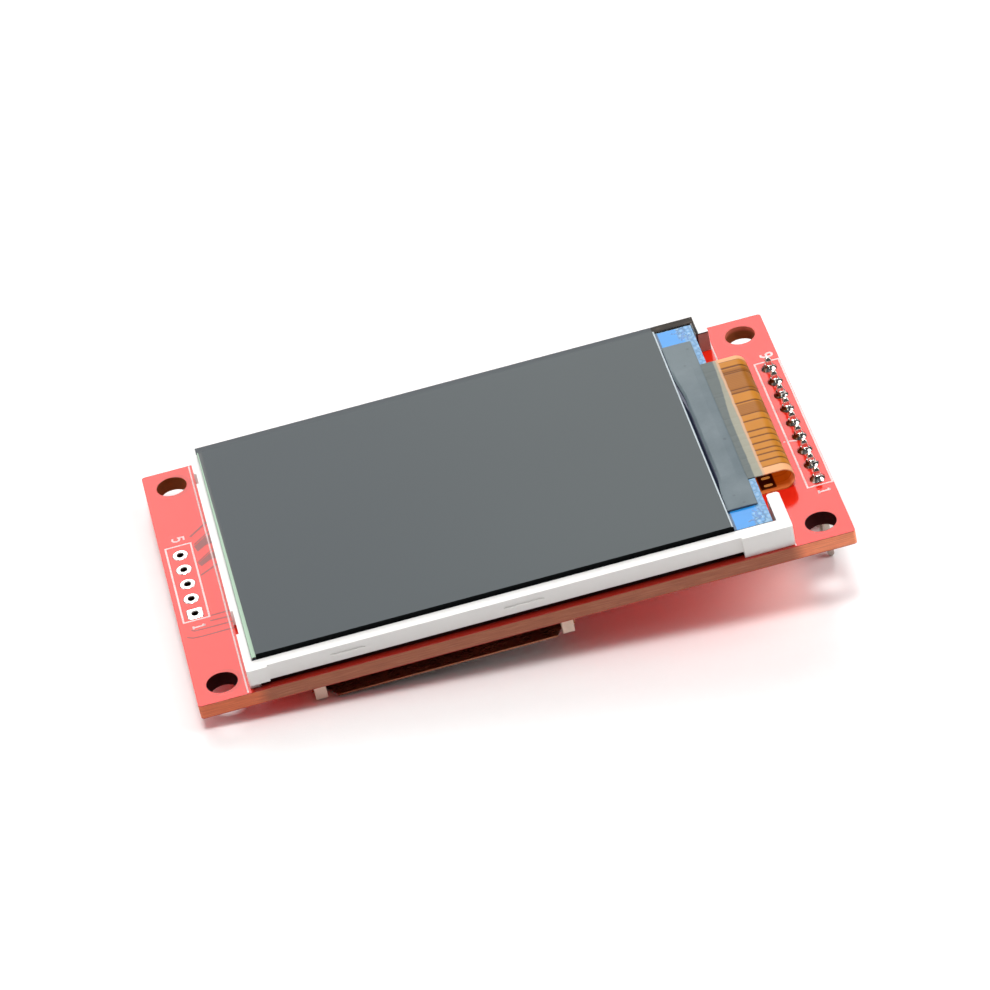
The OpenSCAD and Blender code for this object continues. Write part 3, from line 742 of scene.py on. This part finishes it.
# outlines on the other side
ink = Buf()
B0, B1 = -0.022, -0.002
ink.ribbon([(-32.9, 6.72), (-30.2, 6.72), (-30.2, -6.2), (-32.9, -6.2)], 0.2, B0, B1, True)
ink.ribbon([(30.5, 11.7), (33.38, 11.7), (33.38, -11.7), (30.5, -11.7)], 0.2, B0, B1, True)
ink.ribbon([(-22.5, 8.95), (-13.0, 8.95)], 0.18, B0, B1)
ink.ribbon([(2.2, 8.95), (4.9, 8.95)], 0.18, B0, B1)
for x, y in [(8.2 + i * 2.6, 11.0) for i in range(4)] + [(21.7, -12.0), (24.1, -12.0), (8.1, -12.0), (15.0, -12.0), (19.8, 11.0)]:
    for s in (-1, 1):
        ink.ribbon([(x + s * 0.72, y - 1.25), (x + s * 0.72, y + 1.25)], 0.14, B0, B1)
for x in (11.5, 18.5):
    ink.ribbon([(x - 1.75, -10.6), (x - 1.75, -13.4), (x + 1.75, -13.4), (x + 1.75, -10.6)], 0.14, B0, B1, True)
digit(ink, "1", -32.06, -7.38, B0, B1, 0.18, -1)
digit(ink, "1", 31.6, -12.8, B0, B1, 0.18, -1)
ink.object("board_print_back", MATS["silkscreen"])


def trace_material():
    a = Mat("trace_under_mask", rough=0.12, ior=1.5)
    a.color(a.vary((0.27, 0.020, 0.012), 0.08, 0.8, 2.0))
    a.rough(a.math("ADD", 0.10, a.math("MULTIPLY", a.noise(1.5, 2.0), 0.05)))
    a.bump(a.noise(1.6, 1.0, 0.4), 0.3, 0.01)
    return a.m


TRACE = trace_material()
T0, T1 = BOARD + 0.001, BOARD + 0.008
tr = Buf()
for pts, w in [
    ([(-30.12, 7.72), (-29.0, 8.72), (-28.1, 9.55)], 0.22),
    ([(-29.95, 6.2), (-28.55, 7.45), (-28.1, 7.8)], 0.16),
    ([(-30.02, 3.1), (-28.6, 4.35), (-28.1, 4.75)], 0.14),
    ([(-30.05, 0.86), (-28.9, 1.55), (-28.1, 2.05)], 0.20),
    ([(-30.05, -6.1), (-28.1, -6.06)], 0.17),
    ([(-30.25, -6.92), (-28.1, -7.02)], 0.17),
    ([(-32.31, -7.66), (-32.0, -7.9), (-30.39, -7.93), (-28.1, -7.95)], 0.17),
    ([(-32.9, -8.62), (-32.3, -8.98), (-31.3, -9.06), (-28.1, -9.01)], 0.17),
]:
    tr.ribbon(pts, w, T0, T1)
for poly in ([(-29.95, 5.95), (-28.62, 7.15), (-28.1, 7.2), (-28.1, 5.75), (-28.75, 5.72), (-29.72, 4.95)],
             [(-30.0, 2.95), (-28.7, 4.05), (-28.1, 4.3), (-28.1, 3.1), (-28.7, 3.05), (-29.7, 2.35)]):
    tr.prism(poly, T0, T1)
tr.object("board_traces_top", TRACE)

tr = Buf()
rnd = random.Random(11)
for i in range(9):
    y = (i - 4) * 2.54
    x1 = 26.5 - abs(i - 4) * 0.8
    tr.ribbon([(31.1, y), (29.2, y), (28.0, y * 0.62), (x1, y * 0.62), (x1 - 4.0, y * 0.62 + 2.2)], 0.22, -0.008, -0.001)
for i in range(5):
    y = (i - 2) * 2.54
    tr.ribbon([(-30.6, y), (-29.3, y), (-26.2, 13.3 + 0.55 * (i - 2)), (-17.6 - 0.5 * i, 13.3 + 0.55 * (i - 2))], 0.22, -0.008, -0.001)
for i in range(6):
    tr.ribbon([(-16.5 + 2.5 * i, 10.0), (-16.5 + 2.5 * i, 12.0), (-11.0 + 2.05 * i, 17.5 - 0.45 * i), (15.0 - 0.6 * i, 17.5 - 0.45 * i)], 0.2, -0.008, -0.001)
tr.object("board_traces_back", TRACE)

pads = Buf()
for i, (x, y) in enumerate(FIVE):
    sq = i == 0
    for top in (True, False):
        z0, s = (BOARD, 1) if top else (0.0, -1)
        prof = [(0.50, z0), (0.80, z0), (0.815, z0 + s * 0.012), (0.78, z0 + s * 0.045), (0.70, z0 + s * 0.062),
                (0.56, z0 + s * 0.060), (0.43, z0 + s * 0.045), (0.34, z0 + s * 0.003)]
        if sq:
            pads_in = Buf()
            pads_in.lathe(x, y, prof, 64, square=False)
            for k, (vx, vy, vz) in enumerate(pads_in.v):
                dx, dy = vx - x, vy - y
                r = math.hypot(dx, dy)
                if r > 0.58:
                    t = math.atan2(dy, dx)
                    g = min(1.0 / max(abs(math.cos(t)), abs(math.sin(t))), 1.33)
                    f = min(1.0, (r - 0.58) / 0.1)
                    pads_in.v[k] = (x + dx * (1 + (g - 1) * f), y + dy * (1 + (g - 1) * f), vz)
            pads.add(pads_in.v, pads_in.f)
        else:
            pads.lathe(x, y, prof, 48)
    pads.lathe(x, y, [(0.499, 0.0), (0.499, BOARD), (0.33, BOARD), (0.30, BOARD - 0.08), (0.30, 0.08), (0.33, 0.0)], 40)
pads.object("five_hole_pads", MATS["pad_metal"], angle=50)


# dull walls of the four drilled mounting holes, painted dark in the front holes and lighter in the back ones, with a
# lit patch high in the back right hole: painted shade and painted light
wall_mat = Mat("hole_wall_resin", rough=0.85, ior=1.15)
back = wall_mat.step(wall_mat.y, -5.0, 5.0)
wc = wall_mat.mix(back, (0.028, 0.0028, 0.0032), (0.23, 0.058, 0.016))
lit = wall_mat.both(back, wall_mat.step(wall_mat.x, -5.0, 5.0), wall_mat.step(wall_mat.z, 0.9, 1.4))
wc = wall_mat.mix(lit, wc, (0.64, 0.155, 0.095))
wall_mat.color(wall_mat.vary(wc, 0.35, 1.6, 3.0, wall_mat.stretch(0.5, 0.5, 4.0)))
wall_mat.bump(wall_mat.noise(3.0, 3.0, 0.6, wall_mat.stretch(0.6, 0.6, 4.0)), 0.5, 0.03)
walls = Buf()
for cx, cy in HOLES:
    walls.lathe(cx, cy, [(1.601, 0.01), (1.601, BOARD - 0.01), (1.57, BOARD - 0.012), (1.57, 0.012)], 64)
walls.object("mounting_hole_walls", wall_mat.m, angle=50)


# ---------------------------------------------------------------- header joints, top side
def solder_joints():
    buf = Buf()
    for i, (x, y) in enumerate(NINE):
        r = random.Random(40 + i)
        a1, a2, a3 = (r.uniform(0, 6.28) for _ in range(3))
        h = r.uniform(-0.10, 0.12)
        fat = r.uniform(0.95, 1.05)

        def wob(k, t, a1=a1, a2=a2, a3=a3):
            k = min(k, 8)
            return 1.0 + 0.035 * math.sin(t + a1 + 0.2 * k) + 0.02 * math.sin(2 * t + a2) + 0.012 * math.sin(3 * t + a3 - 0.3 * k)

        top = BOARD
        prof = [(0.0, top - 0.35), (0.485, top - 0.35), (0.485, top + 0.002), (0.76 * fat, top + 0.004), (0.77 * fat, top + 0.03),
                (0.72 * fat, top + 0.09), (0.635 * fat, top + 0.17), (0.555 * fat, top + 0.27), (0.50, top + 0.38 + h),
                (0.46, top + 0.49 + h), (0.42, top + 0.56 + h), (0.35, top + 0.61 + h), (0.0, top + 0.625 + h)]
        buf.lathe(x, y, prof, 48, wob)
    return buf.object("header_joints", MATS["solder"], angle=60)


joints = solder_joints()
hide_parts("header_solder")


# ---------------------------------------------------------------- flexible circuit
def flex():
    t = 0.12
    zt, zb = 4.07, 1.60
    cx, cz = 28.665, 2.835
    ro = 1.235
    path = []
    for k in range(19):
        x = 24.95 + (cx - 24.95) * k / 18
        path.append((x, zt, 0.0, 1.0))
    for k in range(1, 33):
        a = math.pi / 2 - math.pi * k / 32
        path.append((cx + ro * math.cos(a), cz + ro * math.sin(a), math.cos(a), math.sin(a)))
    for k in range(1, 31):
        x = cx + (13.5 - cx) * k / 30
        path.append((x, zb, 0.0, -1.0))
    grooves = [(8.72, .13), (7.88, .07), (7.60, .07), (4.62, .08), (4.02, .10), (2.25, .10), (0.05, .08), (-1.15, .09),
               (-2.95, .10), (-4.0, .09), (-5.15, .10), (-6.3, .09), (-7.15, .09), (-8.25, .10), (-9.36, .10), (9.9, .10)]
    ys = set()
    for k in range(43):
        ys.add(round(-10.5 + 21.0 * k / 42, 4))
    for yc, w in grooves:
        for d in (-1.6, -0.9, 0.0, 0.9, 1.6):
            ys.add(round(yc + d * w, 4))
    ys = sorted(v for v in ys if -10.5 <= v <= 10.5)
    keep = [ys[0]]
    for v in ys[1:]:
        if v - keep[-1] > 0.035:
            keep.append(v)
    if 10.5 - keep[-1] < 0.05:
        keep[-1] = 10.5
    ys = keep
    n, m = len(path), len(ys)

    def height(y):
        g = 0.0
        for yc, w in grooves:
            d = abs(y - yc) / w
            if d < 1.5:
                g = max(g, 0.5 + 0.5 * math.cos(math.pi * min(1.0, d / 1.5)))
        if y > 9.95 or y < -9.42:
            g = max(g, 0.8)
        return -0.022 * g

    vs, fs = [], []
    for i, (x, z, nx, nz) in enumerate(path):
        wav = 0.025 * math.sin(i * 0.33 + 0.8)
        for y in ys:
            h = height(y)
            w = 0.018 * noise.noise(Vector((x * 0.35, y * 0.30, z * 0.4))) - 0.018
            if z < 1.95:
                w = 0.0
                h = h * (-1 if nz < -0.5 else 1) * 0.0
            if x < 26.2 and z > 3.0:
                w *= 0.2
            yy = y + (wav * 0.4 if abs(y) > 10.4 else 0.0)
            yy = max(-10.5, min(10.5, yy))
            vs.append((x + nx * (h + w), yy, z + nz * (h + w)))
    for i, (x, z, nx, nz) in enumerate(path):
        for y in ys:
            w = 0.018 * noise.noise(Vector((x * 0.35, y * 0.30, z * 0.4))) - 0.018
            if z < 1.95:
                w = 0.0
            if x < 26.2 and z > 3.0:
                w *= 0.2
            vs.append((x - nx * (t - w), max(-10.5, min(10.5, y)), z - nz * (t - w)))
    o = n * m
    for i in range(n - 1):
        for j in range(m - 1):
            a = i * m + j
            fs.append((a, a + m, a + m + 1, a + 1))
            b = o + a
            fs.append((b, b + 1, b + m + 1, b + m))
    for i in range(n - 1):
        a = i * m
        fs.append((a, o + a, o + a + m, a + m))
        a = i * m + m - 1
        fs.append((a, a + m, o + a + m, o + a))
    for j in range(m - 1):
        fs.append((j, j + 1, o + j + 1, o + j))
        a = (n - 1) * m + j
        fs.append((a, o + a, o + a + 1, a + 1))
    buf = Buf()
    buf.add(vs, fs)
    return buf.object("flex_circuit", MATS["amber_film"], angle=60)


flex_circuit = flex()
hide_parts("flex_cable")

fp = Buf()
for y in (-8.12, -9.38):
    pts = []
    for k in range(24):
        t = 2 * math.pi * k / 24
        c, s = math.cos(t), math.sin(t)
        pts.append((27.2 + 0.46 * math.copysign(abs(c) ** 0.6, c), y + 0.19 * math.copysign(abs(s) ** 0.7, s)))
    fp.prism(pts, 1.718, 1.76)
pad_gold = plain("test_pad_gold", (0.98, 0.62, 0.27), 0.35, 3.0, 0.08)
gold_bsdf = next(n for n in pad_gold.node_tree.nodes if n.type == "BSDF_PRINCIPLED")
# painted glint: the pads are given a faint orange emission
gold_bsdf.inputs["Emission Color"].default_value = (0.40, 0.17, 0.035, 1)
gold_bsdf.inputs["Emission Strength"].default_value = 0.8
flex_pads = bevel(fp.object("flex_test_pads", pad_gold), 0.012, 2)


# ---------------------------------------------------------------- tape over the driver chip
def drape():
    y0, y1 = -14.89, 14.89
    nx_, ny_ = 40, 240

    def s(v):
        v = max(0.0, min(1.0, v))
        return v * v * (3 - 2 * v)

    def left(y):
        # the left edge pulls back from the upper glass over the middle of its length
        pull = s((y + 12.5) / 4.0) * s((9.5 - y) / 4.5)
        return 22.03 + 0.33 * pull + 0.03 * noise.noise(Vector((y * 0.5, 2.0, 3.0)))

    def right(y):
        return 25.12 + 0.04 * noise.noise(Vector((y * 0.4, 7.0, 3.0)))

    def top(x, y):
        over = s((9.2 + 1.6 - abs(y)) / 1.6)
        flat = 4.19 + 0.095 * over
        k = s((x - left(y)) / 0.30)
        z = 4.15 + (flat - 4.15) * k
        z -= (flat - 4.145) * max(0.0, min(1.0, (x - 24.2) / 0.92))
        z += 0.008 * noise.noise(Vector((x * 0.9, y * 0.30, 1.0)))
        return z

    def under(x, y):
        inside = 22.97 < x < 24.23 and abs(y) < 9.25
        return 4.233 if inside else (3.955 if x < 24.93 else 4.073)

    vs, fs = [], []
    for side in (1, 0):
        for i in range(nx_ + 1):
            for j in range(ny_ + 1):
                y = y0 + (y1 - y0) * j / ny_
                x = left(y) + (right(y) - left(y)) * i / nx_
                zt = top(x, y)
                if i in (0, nx_) or j in (0, ny_):
                    zt -= 0.02
                vs.append((x, y, zt if side else min(under(x, y), zt - 0.03)))
    o = (nx_ + 1) * (ny_ + 1)
    m = ny_ + 1
    for i in range(nx_):
        for j in range(ny_):
            a = i * m + j
            fs.append((a, a + m, a + m + 1, a + 1))
            b = o + a
            fs.append((b, b + 1, b + m + 1, b + m))
    for i in range(nx_):
        a = i * m
        fs.append((a, o + a, o + a + m, a + m))
        a = i * m + ny_
        fs.append((a, a + m, o + a + m, o + a))
    for j in range(ny_):
        fs.append((j, j + 1, o + j + 1, o + j))
        a = nx_ * m + j
        fs.append((a, o + a, o + a + 1, a + 1))
    buf = Buf()
    buf.add(vs, fs)
    return buf.object("driver_tape_draped", MATS["grey_tape"], angle=50)


tape = drape()
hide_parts("driver_tape")

# dark bead in the gap between the upper glass and the tape, a painted shadow
bead_mat = Mat("gap_shadow_fill", rough=0.75, ior=1.22)
bead_mat.color(bead_mat.vary((0.0030, 0.0065, 0.022), 0.3, 1.5, 3.0))
bead_mat.bump(bead_mat.noise(3.0, 3.0, 0.6), 0.4, 0.03)
bead = Buf()
rail = []
for k in range(61):
    y = -13.0 + 19.5 * k / 60
    t = max(0.0, min(1.0, (y + 13.0) / 4.0)) * max(0.0, min(1.0, (6.5 - y) / 4.0))
    w = 0.02 + 0.29 * t * t * (3 - 2 * t) + 0.012 * noise.noise(Vector((y * 0.9, 5.0, 1.0)))
    rail.append((y, max(0.012, w)))
vs, fs = [], []
for y, w in rail:
    for dx, z in ((0.0, 3.957), (w, 3.957), (w * 0.7, 4.02), (0.0, 4.06)):
        vs.append((21.965 + dx, y, z))
for k in range(60):
    for q in range(4):
        a = 4 * k
        fs.append((a + q, a + (q + 1) % 4, a + 4 + (q + 1) % 4, a + 4 + q))
fs.append((0, 1, 2, 3))
fs.append((240, 241, 242, 243))
bead.add(vs, fs)
bead.object("gap_shadow_bead", bead_mat.m, angle=60)


# upper polarizer: its front edge stops short of the glass, and a black bead fills the step, standing partly for the
# glass's black edge and partly as a painted shadow
pol = Buf()
PX0, PX1, PY0, PY1, PZ0, PZ1 = -26.8, 21.75, -17.86, 18.0, 4.25, 4.4
cols = [PX0 + (PX1 - PX0) * k / 24 for k in range(25)]
rows = [PY0 + (PY1 - PY0) * k / 18 for k in range(19)]
pv, pf = [], []
for z in (PZ1, PZ0):
    for x in cols:
        for y in rows:
            pv.append((x, y, z))
nr, nc = len(rows), len(cols)
off = nr * nc
for i in range(nc - 1):
    for j in range(nr - 1):
        k = i * nr + j
        pf.append((k, k + nr, k + nr + 1, k + 1))
        pf.append((off + k, off + k + 1, off + k + nr + 1, off + k + nr))
for i in range(nc - 1):
    for j in (0, nr - 1):
        k = i * nr + j
        pf.append((k, off + k, off + k + nr, k + nr))
for j in range(nr - 1):
    for i in (0, nc - 1):
        k = i * nr + j
        pf.append((k, k + 1, off + k + 1, off + k))
for k, (x, y, z) in enumerate(pv):
    if x in (PX0, PX1) and y in (PY0, PY1):
        pv[k] = (x + math.copysign(0.045, -x), y + math.copysign(0.045, -y), z)
pol.add(pv, pf)
pol_sheet = bevel(pol.object("polarizer_sheet", MATS["polarizer_grey"], angle=50), 0.008, 1, 50)
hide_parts("front_polarizer")

shadow_bead_mat = Mat("edge_shadow_paint", rough=0.85, ior=1.13)
shadow_bead_mat.color(shadow_bead_mat.vary((0.0025, 0.0030, 0.0032), 0.4, 2.0, 3.0))
shadow_bead_mat.bump(shadow_bead_mat.noise(4.0, 3.0, 0.6), 0.3, 0.02)
shadow_bead = Buf()
sect = [(-18.092, 3.93), (-18.054, 3.93), (-18.054, 4.253), (-17.866, 4.253), (-17.866, 4.368), (-17.93, 4.380), (-18.05, 4.335), (-18.092, 4.26)]
vs, fs = [], []
SN = 96
for k in range(SN + 1):
    x = -26.78 + (21.90 + 26.78) * k / SN
    wob = 0.006 * noise.noise(Vector((x * 0.7, 3.0, 1.0)))
    for y, z in sect:
        vs.append((x, y + (wob if y > -18.04 else 0.0) - (0.004 if y > -18.04 else 0.0), z))
ns = len(sect)
for k in range(SN):
    a = ns * k
    for q in range(ns):
        fs.append((a + q, a + (q + 1) % ns, a + ns + (q + 1) % ns, a + ns + q))
fs.append(tuple(range(ns)))
fs.append(tuple(range(ns * SN, ns * SN + ns)))
shadow_bead.add(vs, fs)
# a second dark bead along the back edge of the ledge, a painted shadow under the frame's rim
sect = [(18.056, 3.925), (18.104, 3.925), (18.112, 3.975), (18.10, 3.992), (18.02, 3.990), (17.99, 3.953), (18.056, 3.953)]
vs, fs = [], []
SN = 24
for k in range(SN + 1):
    x = 21.97 + (25.84 - 21.97) * k / SN
    wob = 0.02 * noise.noise(Vector((x * 1.7, 5.0, 1.0)))
    for y, z in sect:
        vs.append((x, y + (wob if y < 18.03 else 0.0), z))
ns = len(sect)
for k in range(SN):
    a = ns * k
    for q in range(ns):
        fs.append((a + q, a + (q + 1) % ns, a + ns + (q + 1) % ns, a + ns + q))
fs.append(tuple(range(ns)))
fs.append(tuple(range(ns * SN, ns * SN + ns)))
shadow_bead.add(vs, fs)
shadow_bead.object("edge_shadow_bead", shadow_bead_mat.m, angle=60)


# ---------------------------------------------------------------- conductor marks on the glass ledge
def mark_material():
    a = Mat("conductor_marks", (0.07, 0.17, 0.36), 0.16, metal=0.4)
    a.color(a.vary((0.07, 0.17, 0.36), 0.15, 2.0, 2.0))
    a.bump(a.noise(6.0, 2.0), 0.2, 0.005)
    return a.m


marks = Buf()
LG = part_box("tft_glass")[1].z / MM
for s in (-1, 1):
    marks.ribbon([(24.30, s * 15.55), (24.62, s * 15.95), (24.55, s * 16.45), (24.95, s * 16.8)], 0.20, LG + 0.001, LG + 0.006)
    marks.ribbon([(24.95, s * 15.45), (25.10, s * 16.1), (25.35, s * 16.35)], 0.16, LG + 0.001, LG + 0.006)
    marks.ribbon([(23.55, s * 17.25), (23.95, s * 17.05), (24.35, s * 17.3)], 0.18, LG + 0.001, LG + 0.006)
    marks.prism([(24.6, s * 17.0 - 0.14), (24.95, s * 17.0 - 0.10), (25.0, s * 17.0 + 0.16), (24.7, s * 17.0 + 0.20)], LG + 0.001, LG + 0.006)
marks.object("ledge_conductors", mark_material())


# ---------------------------------------------------------------- small parts on the back
caps = Buf()
joints_b = Buf()
chips = [(8.2 + i * 2.6, 11.0, 0, 0.45) for i in range(4)] + [(21.7 + i * 2.4, -12.0, 0, 0.45) for i in range(2)]
chips += [(15.4, -8.5, 1, 0.45)]
chips += [(8.1, -12.0, 0, 0.8), (15.0, -12.0, 0, 0.8), (19.8, 11.0, 0, 0.8)]
for cx, cy, turned, h in chips:
    for s in (-1, 1):
        if turned:
            lo, hi = (cx + s * 0.8, cy - 0.41), (cx + s * 0.48, cy + 0.41)
        else:
            lo, hi = (cx - 0.41, cy + s * 0.8), (cx + 0.41, cy + s * 0.48)
        x_lo, x_hi = sorted((lo[0], hi[0]))
        y_lo, y_hi = sorted((lo[1], hi[1]))
        if turned:
            x_lo, x_hi = (x_lo - 0.012, x_hi) if s < 0 else (x_lo, x_hi + 0.012)
        else:
            y_lo, y_hi = (y_lo - 0.012, y_hi) if s < 0 else (y_lo, y_hi + 0.012)
        caps.block((x_lo, y_lo, -h - 0.012), (x_hi, y_hi, -0.003))
        # solder fillet from the end cap down to its pad
        vs = []
        for k in range(7):
            t = k / 6
            out = 0.40 * (1 - math.sin(t * math.pi / 2))
            zz = -0.012 - (h * 0.72) * t
            for q in (-1, 1):
                w = 0.42 + 0.05 * (1 - t)
                if turned:
                    vs.append((cx + s * (0.81 + out), cy + q * w, zz))
                else:
                    vs.append((cx + q * w, cy + s * (0.81 + out), zz))
        for q in (-1, 1):
            if turned:
                vs.append((cx + s * 0.80, cy + q * 0.42, -0.012))
            else:
                vs.append((cx + q * 0.42, cy + s * 0.80, -0.012))
        fs = [(2 * k, 2 * k + 1, 2 * k + 3, 2 * k + 2) for k in range(6)]
        fs += [(0, 14, 15, 1), (12, 13, 15, 14)]
        fs += [tuple([2 * k for k in range(7)] + [14]), tuple([2 * k + 1 for k in range(7)] + [15])]
        joints_b.add(vs, fs)
bevel(caps.object("chip_end_caps", MATS["tinned_lead"]), 0.03, 2)
for x in (11.5, 18.5):
    for lx, s in ((x - 0.95, 1), (x + 0.95, 1), (x, -1)):
        cy = -12 + s * 1.12
        joints_b.lathe(lx, cy, [(0.0, -0.004), (0.34, -0.004), (0.33, -0.05), (0.24, -0.13), (0.12, -0.20), (0.0, -0.22)], 24)
joints_b.object("small_solder_fillets", MATS["solder"], angle=50)

# ---------------------------------------------------------------- edges of the CAD nodes
soften("lcd_frame", 0.10, 3)
soften("pcb", 0.035, 1, 50)
soften("color_filter_glass", 0.03, 2)
soften("tft_glass", 0.03, 2)
soften("header_body", 0.08, 2)
soften("header_pins", 0.035, 2, 25)
soften("sd_housing", 0.07, 2)
soften("sd_shell", 0.05, 2)
soften("regulator_body", 0.04, 2)
soften("transistor_body", 0.04, 2)
soften("regulator_leads", 0.02, 1)
soften("transistor_leads", 0.02, 1)
soften("chip_resistors", 0.02, 1)
soften("chip_capacitors", 0.03, 2)
soften("edge_tape", 0.015, 1)
soften("foam_tape", 0.06, 2)
soften("light_guide", 0.03, 1)
soften("driver_ic", 0.02, 1)
soften("backlight_leds", 0.05, 2)

# ---------------------------------------------------------------- floor, camera and light
SLOPE = math.tan(math.radians(5.79))


def floor_z(x):
    return -2.8 - 0.012 - (x + 22.3) * SLOPE


def floor_material():
    a = Mat("floor_white", (0.86, 0.855, 0.85), 0.30, ior=1.45)
    a.color(a.vary((0.93, 0.925, 0.92), 0.012, 0.6, 3.0))
    a.rough(a.math("ADD", 0.26, a.math("MULTIPLY", a.noise(1.5, 3.0), 0.08)))
    a.bump(a.noise(2.4, 3.0, 0.6), 0.25, 0.06)
    return a.m


fm = bpy.data.meshes.new("floor")
R, K = 2600.0, 24
fv, ff = [], []
for i in range(K + 1):
    for j in range(K + 1):
        x = -R + 2 * R * i / K
        y = -R + 2 * R * j / K
        fv.append((x * MM, y * MM, floor_z(x) * MM))
for i in range(K):
    for j in range(K):
        a = i * (K + 1) + j
        ff.append((a, a + K + 1, a + K + 2, a + 1))
fm.from_pydata(fv, [], ff)
fm.materials.append(floor_material())
floor = bpy.data.objects.new("floor", fm)
scene.collection.objects.link(floor)

cam_data = bpy.data.cameras.new("camera")
cam_data.sensor_width = 36.0
cam_data.lens = 186.515
cam_data.clip_start = 0.01
cam_data.clip_end = 20.0
cam = bpy.data.objects.new("camera", cam_data)
scene.collection.objects.link(cam)
RX = (0.9646545731993571, -0.1951616019349486, -0.17706920549816355)
RY = (-0.25801436781407344, -0.5628970364050072, -0.7852232245724551)
RZ = (0.05357369137058076, 0.8031555736821134, -0.5933556977532828)
rot = Matrix((RX, [-v for v in RY], [-v for v in RZ])).transposed()
cam.matrix_world = Matrix.Translation((-0.02702057, -0.41744715, 0.31084712)) @ rot.to_4x4()
scene.camera = cam

world = bpy.data.worlds.new("studio")
scene.world = world
world.use_nodes = True
wt = world.node_tree
wt.nodes.clear()
w_out = wt.nodes.new("ShaderNodeOutputWorld")
w_bg = wt.nodes.new("ShaderNodeBackground")
w_tc = wt.nodes.new("ShaderNodeTexCoord")
wt.links.new(w_bg.outputs[0], w_out.inputs["Surface"])


def wmath(op, a, b):
    n = wt.nodes.new("ShaderNodeMath")
    n.operation = op
    for k, v in enumerate((a, b)):
        if isinstance(v, bpy.types.NodeSocket):
            wt.links.new(v, n.inputs[k])
        else:
            n.inputs[k].default_value = v
    return n.outputs[0]


def lobe(direction, inner, outer, amount):
    """A soft round light of that radiance, full inside the inner angle and gone at the outer one."""
    d = Vector(direction).normalized()
    n = wt.nodes.new("ShaderNodeVectorMath")
    n.operation = "DOT_PRODUCT"
    wt.links.new(w_tc.outputs["Generated"], n.inputs[0])
    n.inputs[1].default_value = d
    r = wt.nodes.new("ShaderNodeMapRange")
    r.interpolation_type = "SMOOTHSTEP"
    wt.links.new(n.outputs["Value"], r.inputs["Value"])
    r.inputs["From Min"].default_value = math.cos(math.radians(outer))
    r.inputs["From Max"].default_value = math.cos(math.radians(inner))
    r.inputs["To Min"].default_value = 0.0
    r.inputs["To Max"].default_value = amount
    return r.outputs[0]


total = None
for args in [((0, -0.235, 1.0), 3, 11, 27.0),
             ((0.80, -0.05, 0.62), 12, 26, 3.6),
             ((-0.80, 0.0, 0.55), 14, 28, 1.8),
             ((0.0, 0.80, 0.62), 14, 28, 3.0),
             ((0, 0, 1.0), 0, 100, 0.05)]:
    v = lobe(*args)
    total = v if total is None else wmath("ADD", total, v)
total = wmath("ADD", total, 0.022)
# the backdrop seen directly is plain white
w_lp = wt.nodes.new("ShaderNodeLightPath")
seen = wmath("MULTIPLY", w_lp.outputs["Is Camera Ray"], 1.0)
mixn = wt.nodes.new("ShaderNodeMix")
mixn.data_type = "FLOAT"
wt.links.new(seen, mixn.inputs[0])
wt.links.new(total, mixn.inputs[2])
mixn.inputs[3].default_value = 1.0
wt.links.new(mixn.outputs[0], w_bg.inputs["Strength"])
w_bg.inputs["Color"].default_value = (1.0, 1.0, 1.0, 1)

# low kicker under the right end of the board: reaches only the floor and the underside there
kick = bpy.data.lights.new("kicker", "AREA")
kick.shape = "RECTANGLE"
kick.size = 3 * MM
kick.size_y = 14 * MM
kick.energy = 0.00036
kick.color = (1.0, 0.40, 0.32)
kicker = bpy.data.objects.new("kicker", kick)
scene.collection.objects.link(kicker)
kicker.location = (30.2 * MM, -14.0 * MM, -2.4 * MM)
kicker.rotation_euler = Vector((-1.0, 0.05, 0.10)).to_track_quat("-Z", "X").to_euler()
kicker.visible_camera = False
kicker.visible_glossy = False
fill = bpy.data.lights.new("fill", "AREA")
fill.shape = "RECTANGLE"
fill.size = 8 * MM
fill.size_y = 12 * MM
fill.energy = 0.00060
fill_light = bpy.data.objects.new("fill", fill)
scene.collection.objects.link(fill_light)
fill_light.location = (42.0 * MM, -19.0 * MM, -2.0 * MM)
fill_light.rotation_euler = Vector((-1.0, 0.10, -0.50)).to_track_quat("-Z", "X").to_euler()
fill_light.visible_camera = False
fill_light.visible_glossy = False

scene.cycles.max_bounces = 16
scene.cycles.diffuse_bounces = 8
scene.view_settings.view_transform = "Standard"
scene.view_settings.look = "None"
scene.view_settings.exposure = 0.0
scene.view_settings.gamma = 1.0
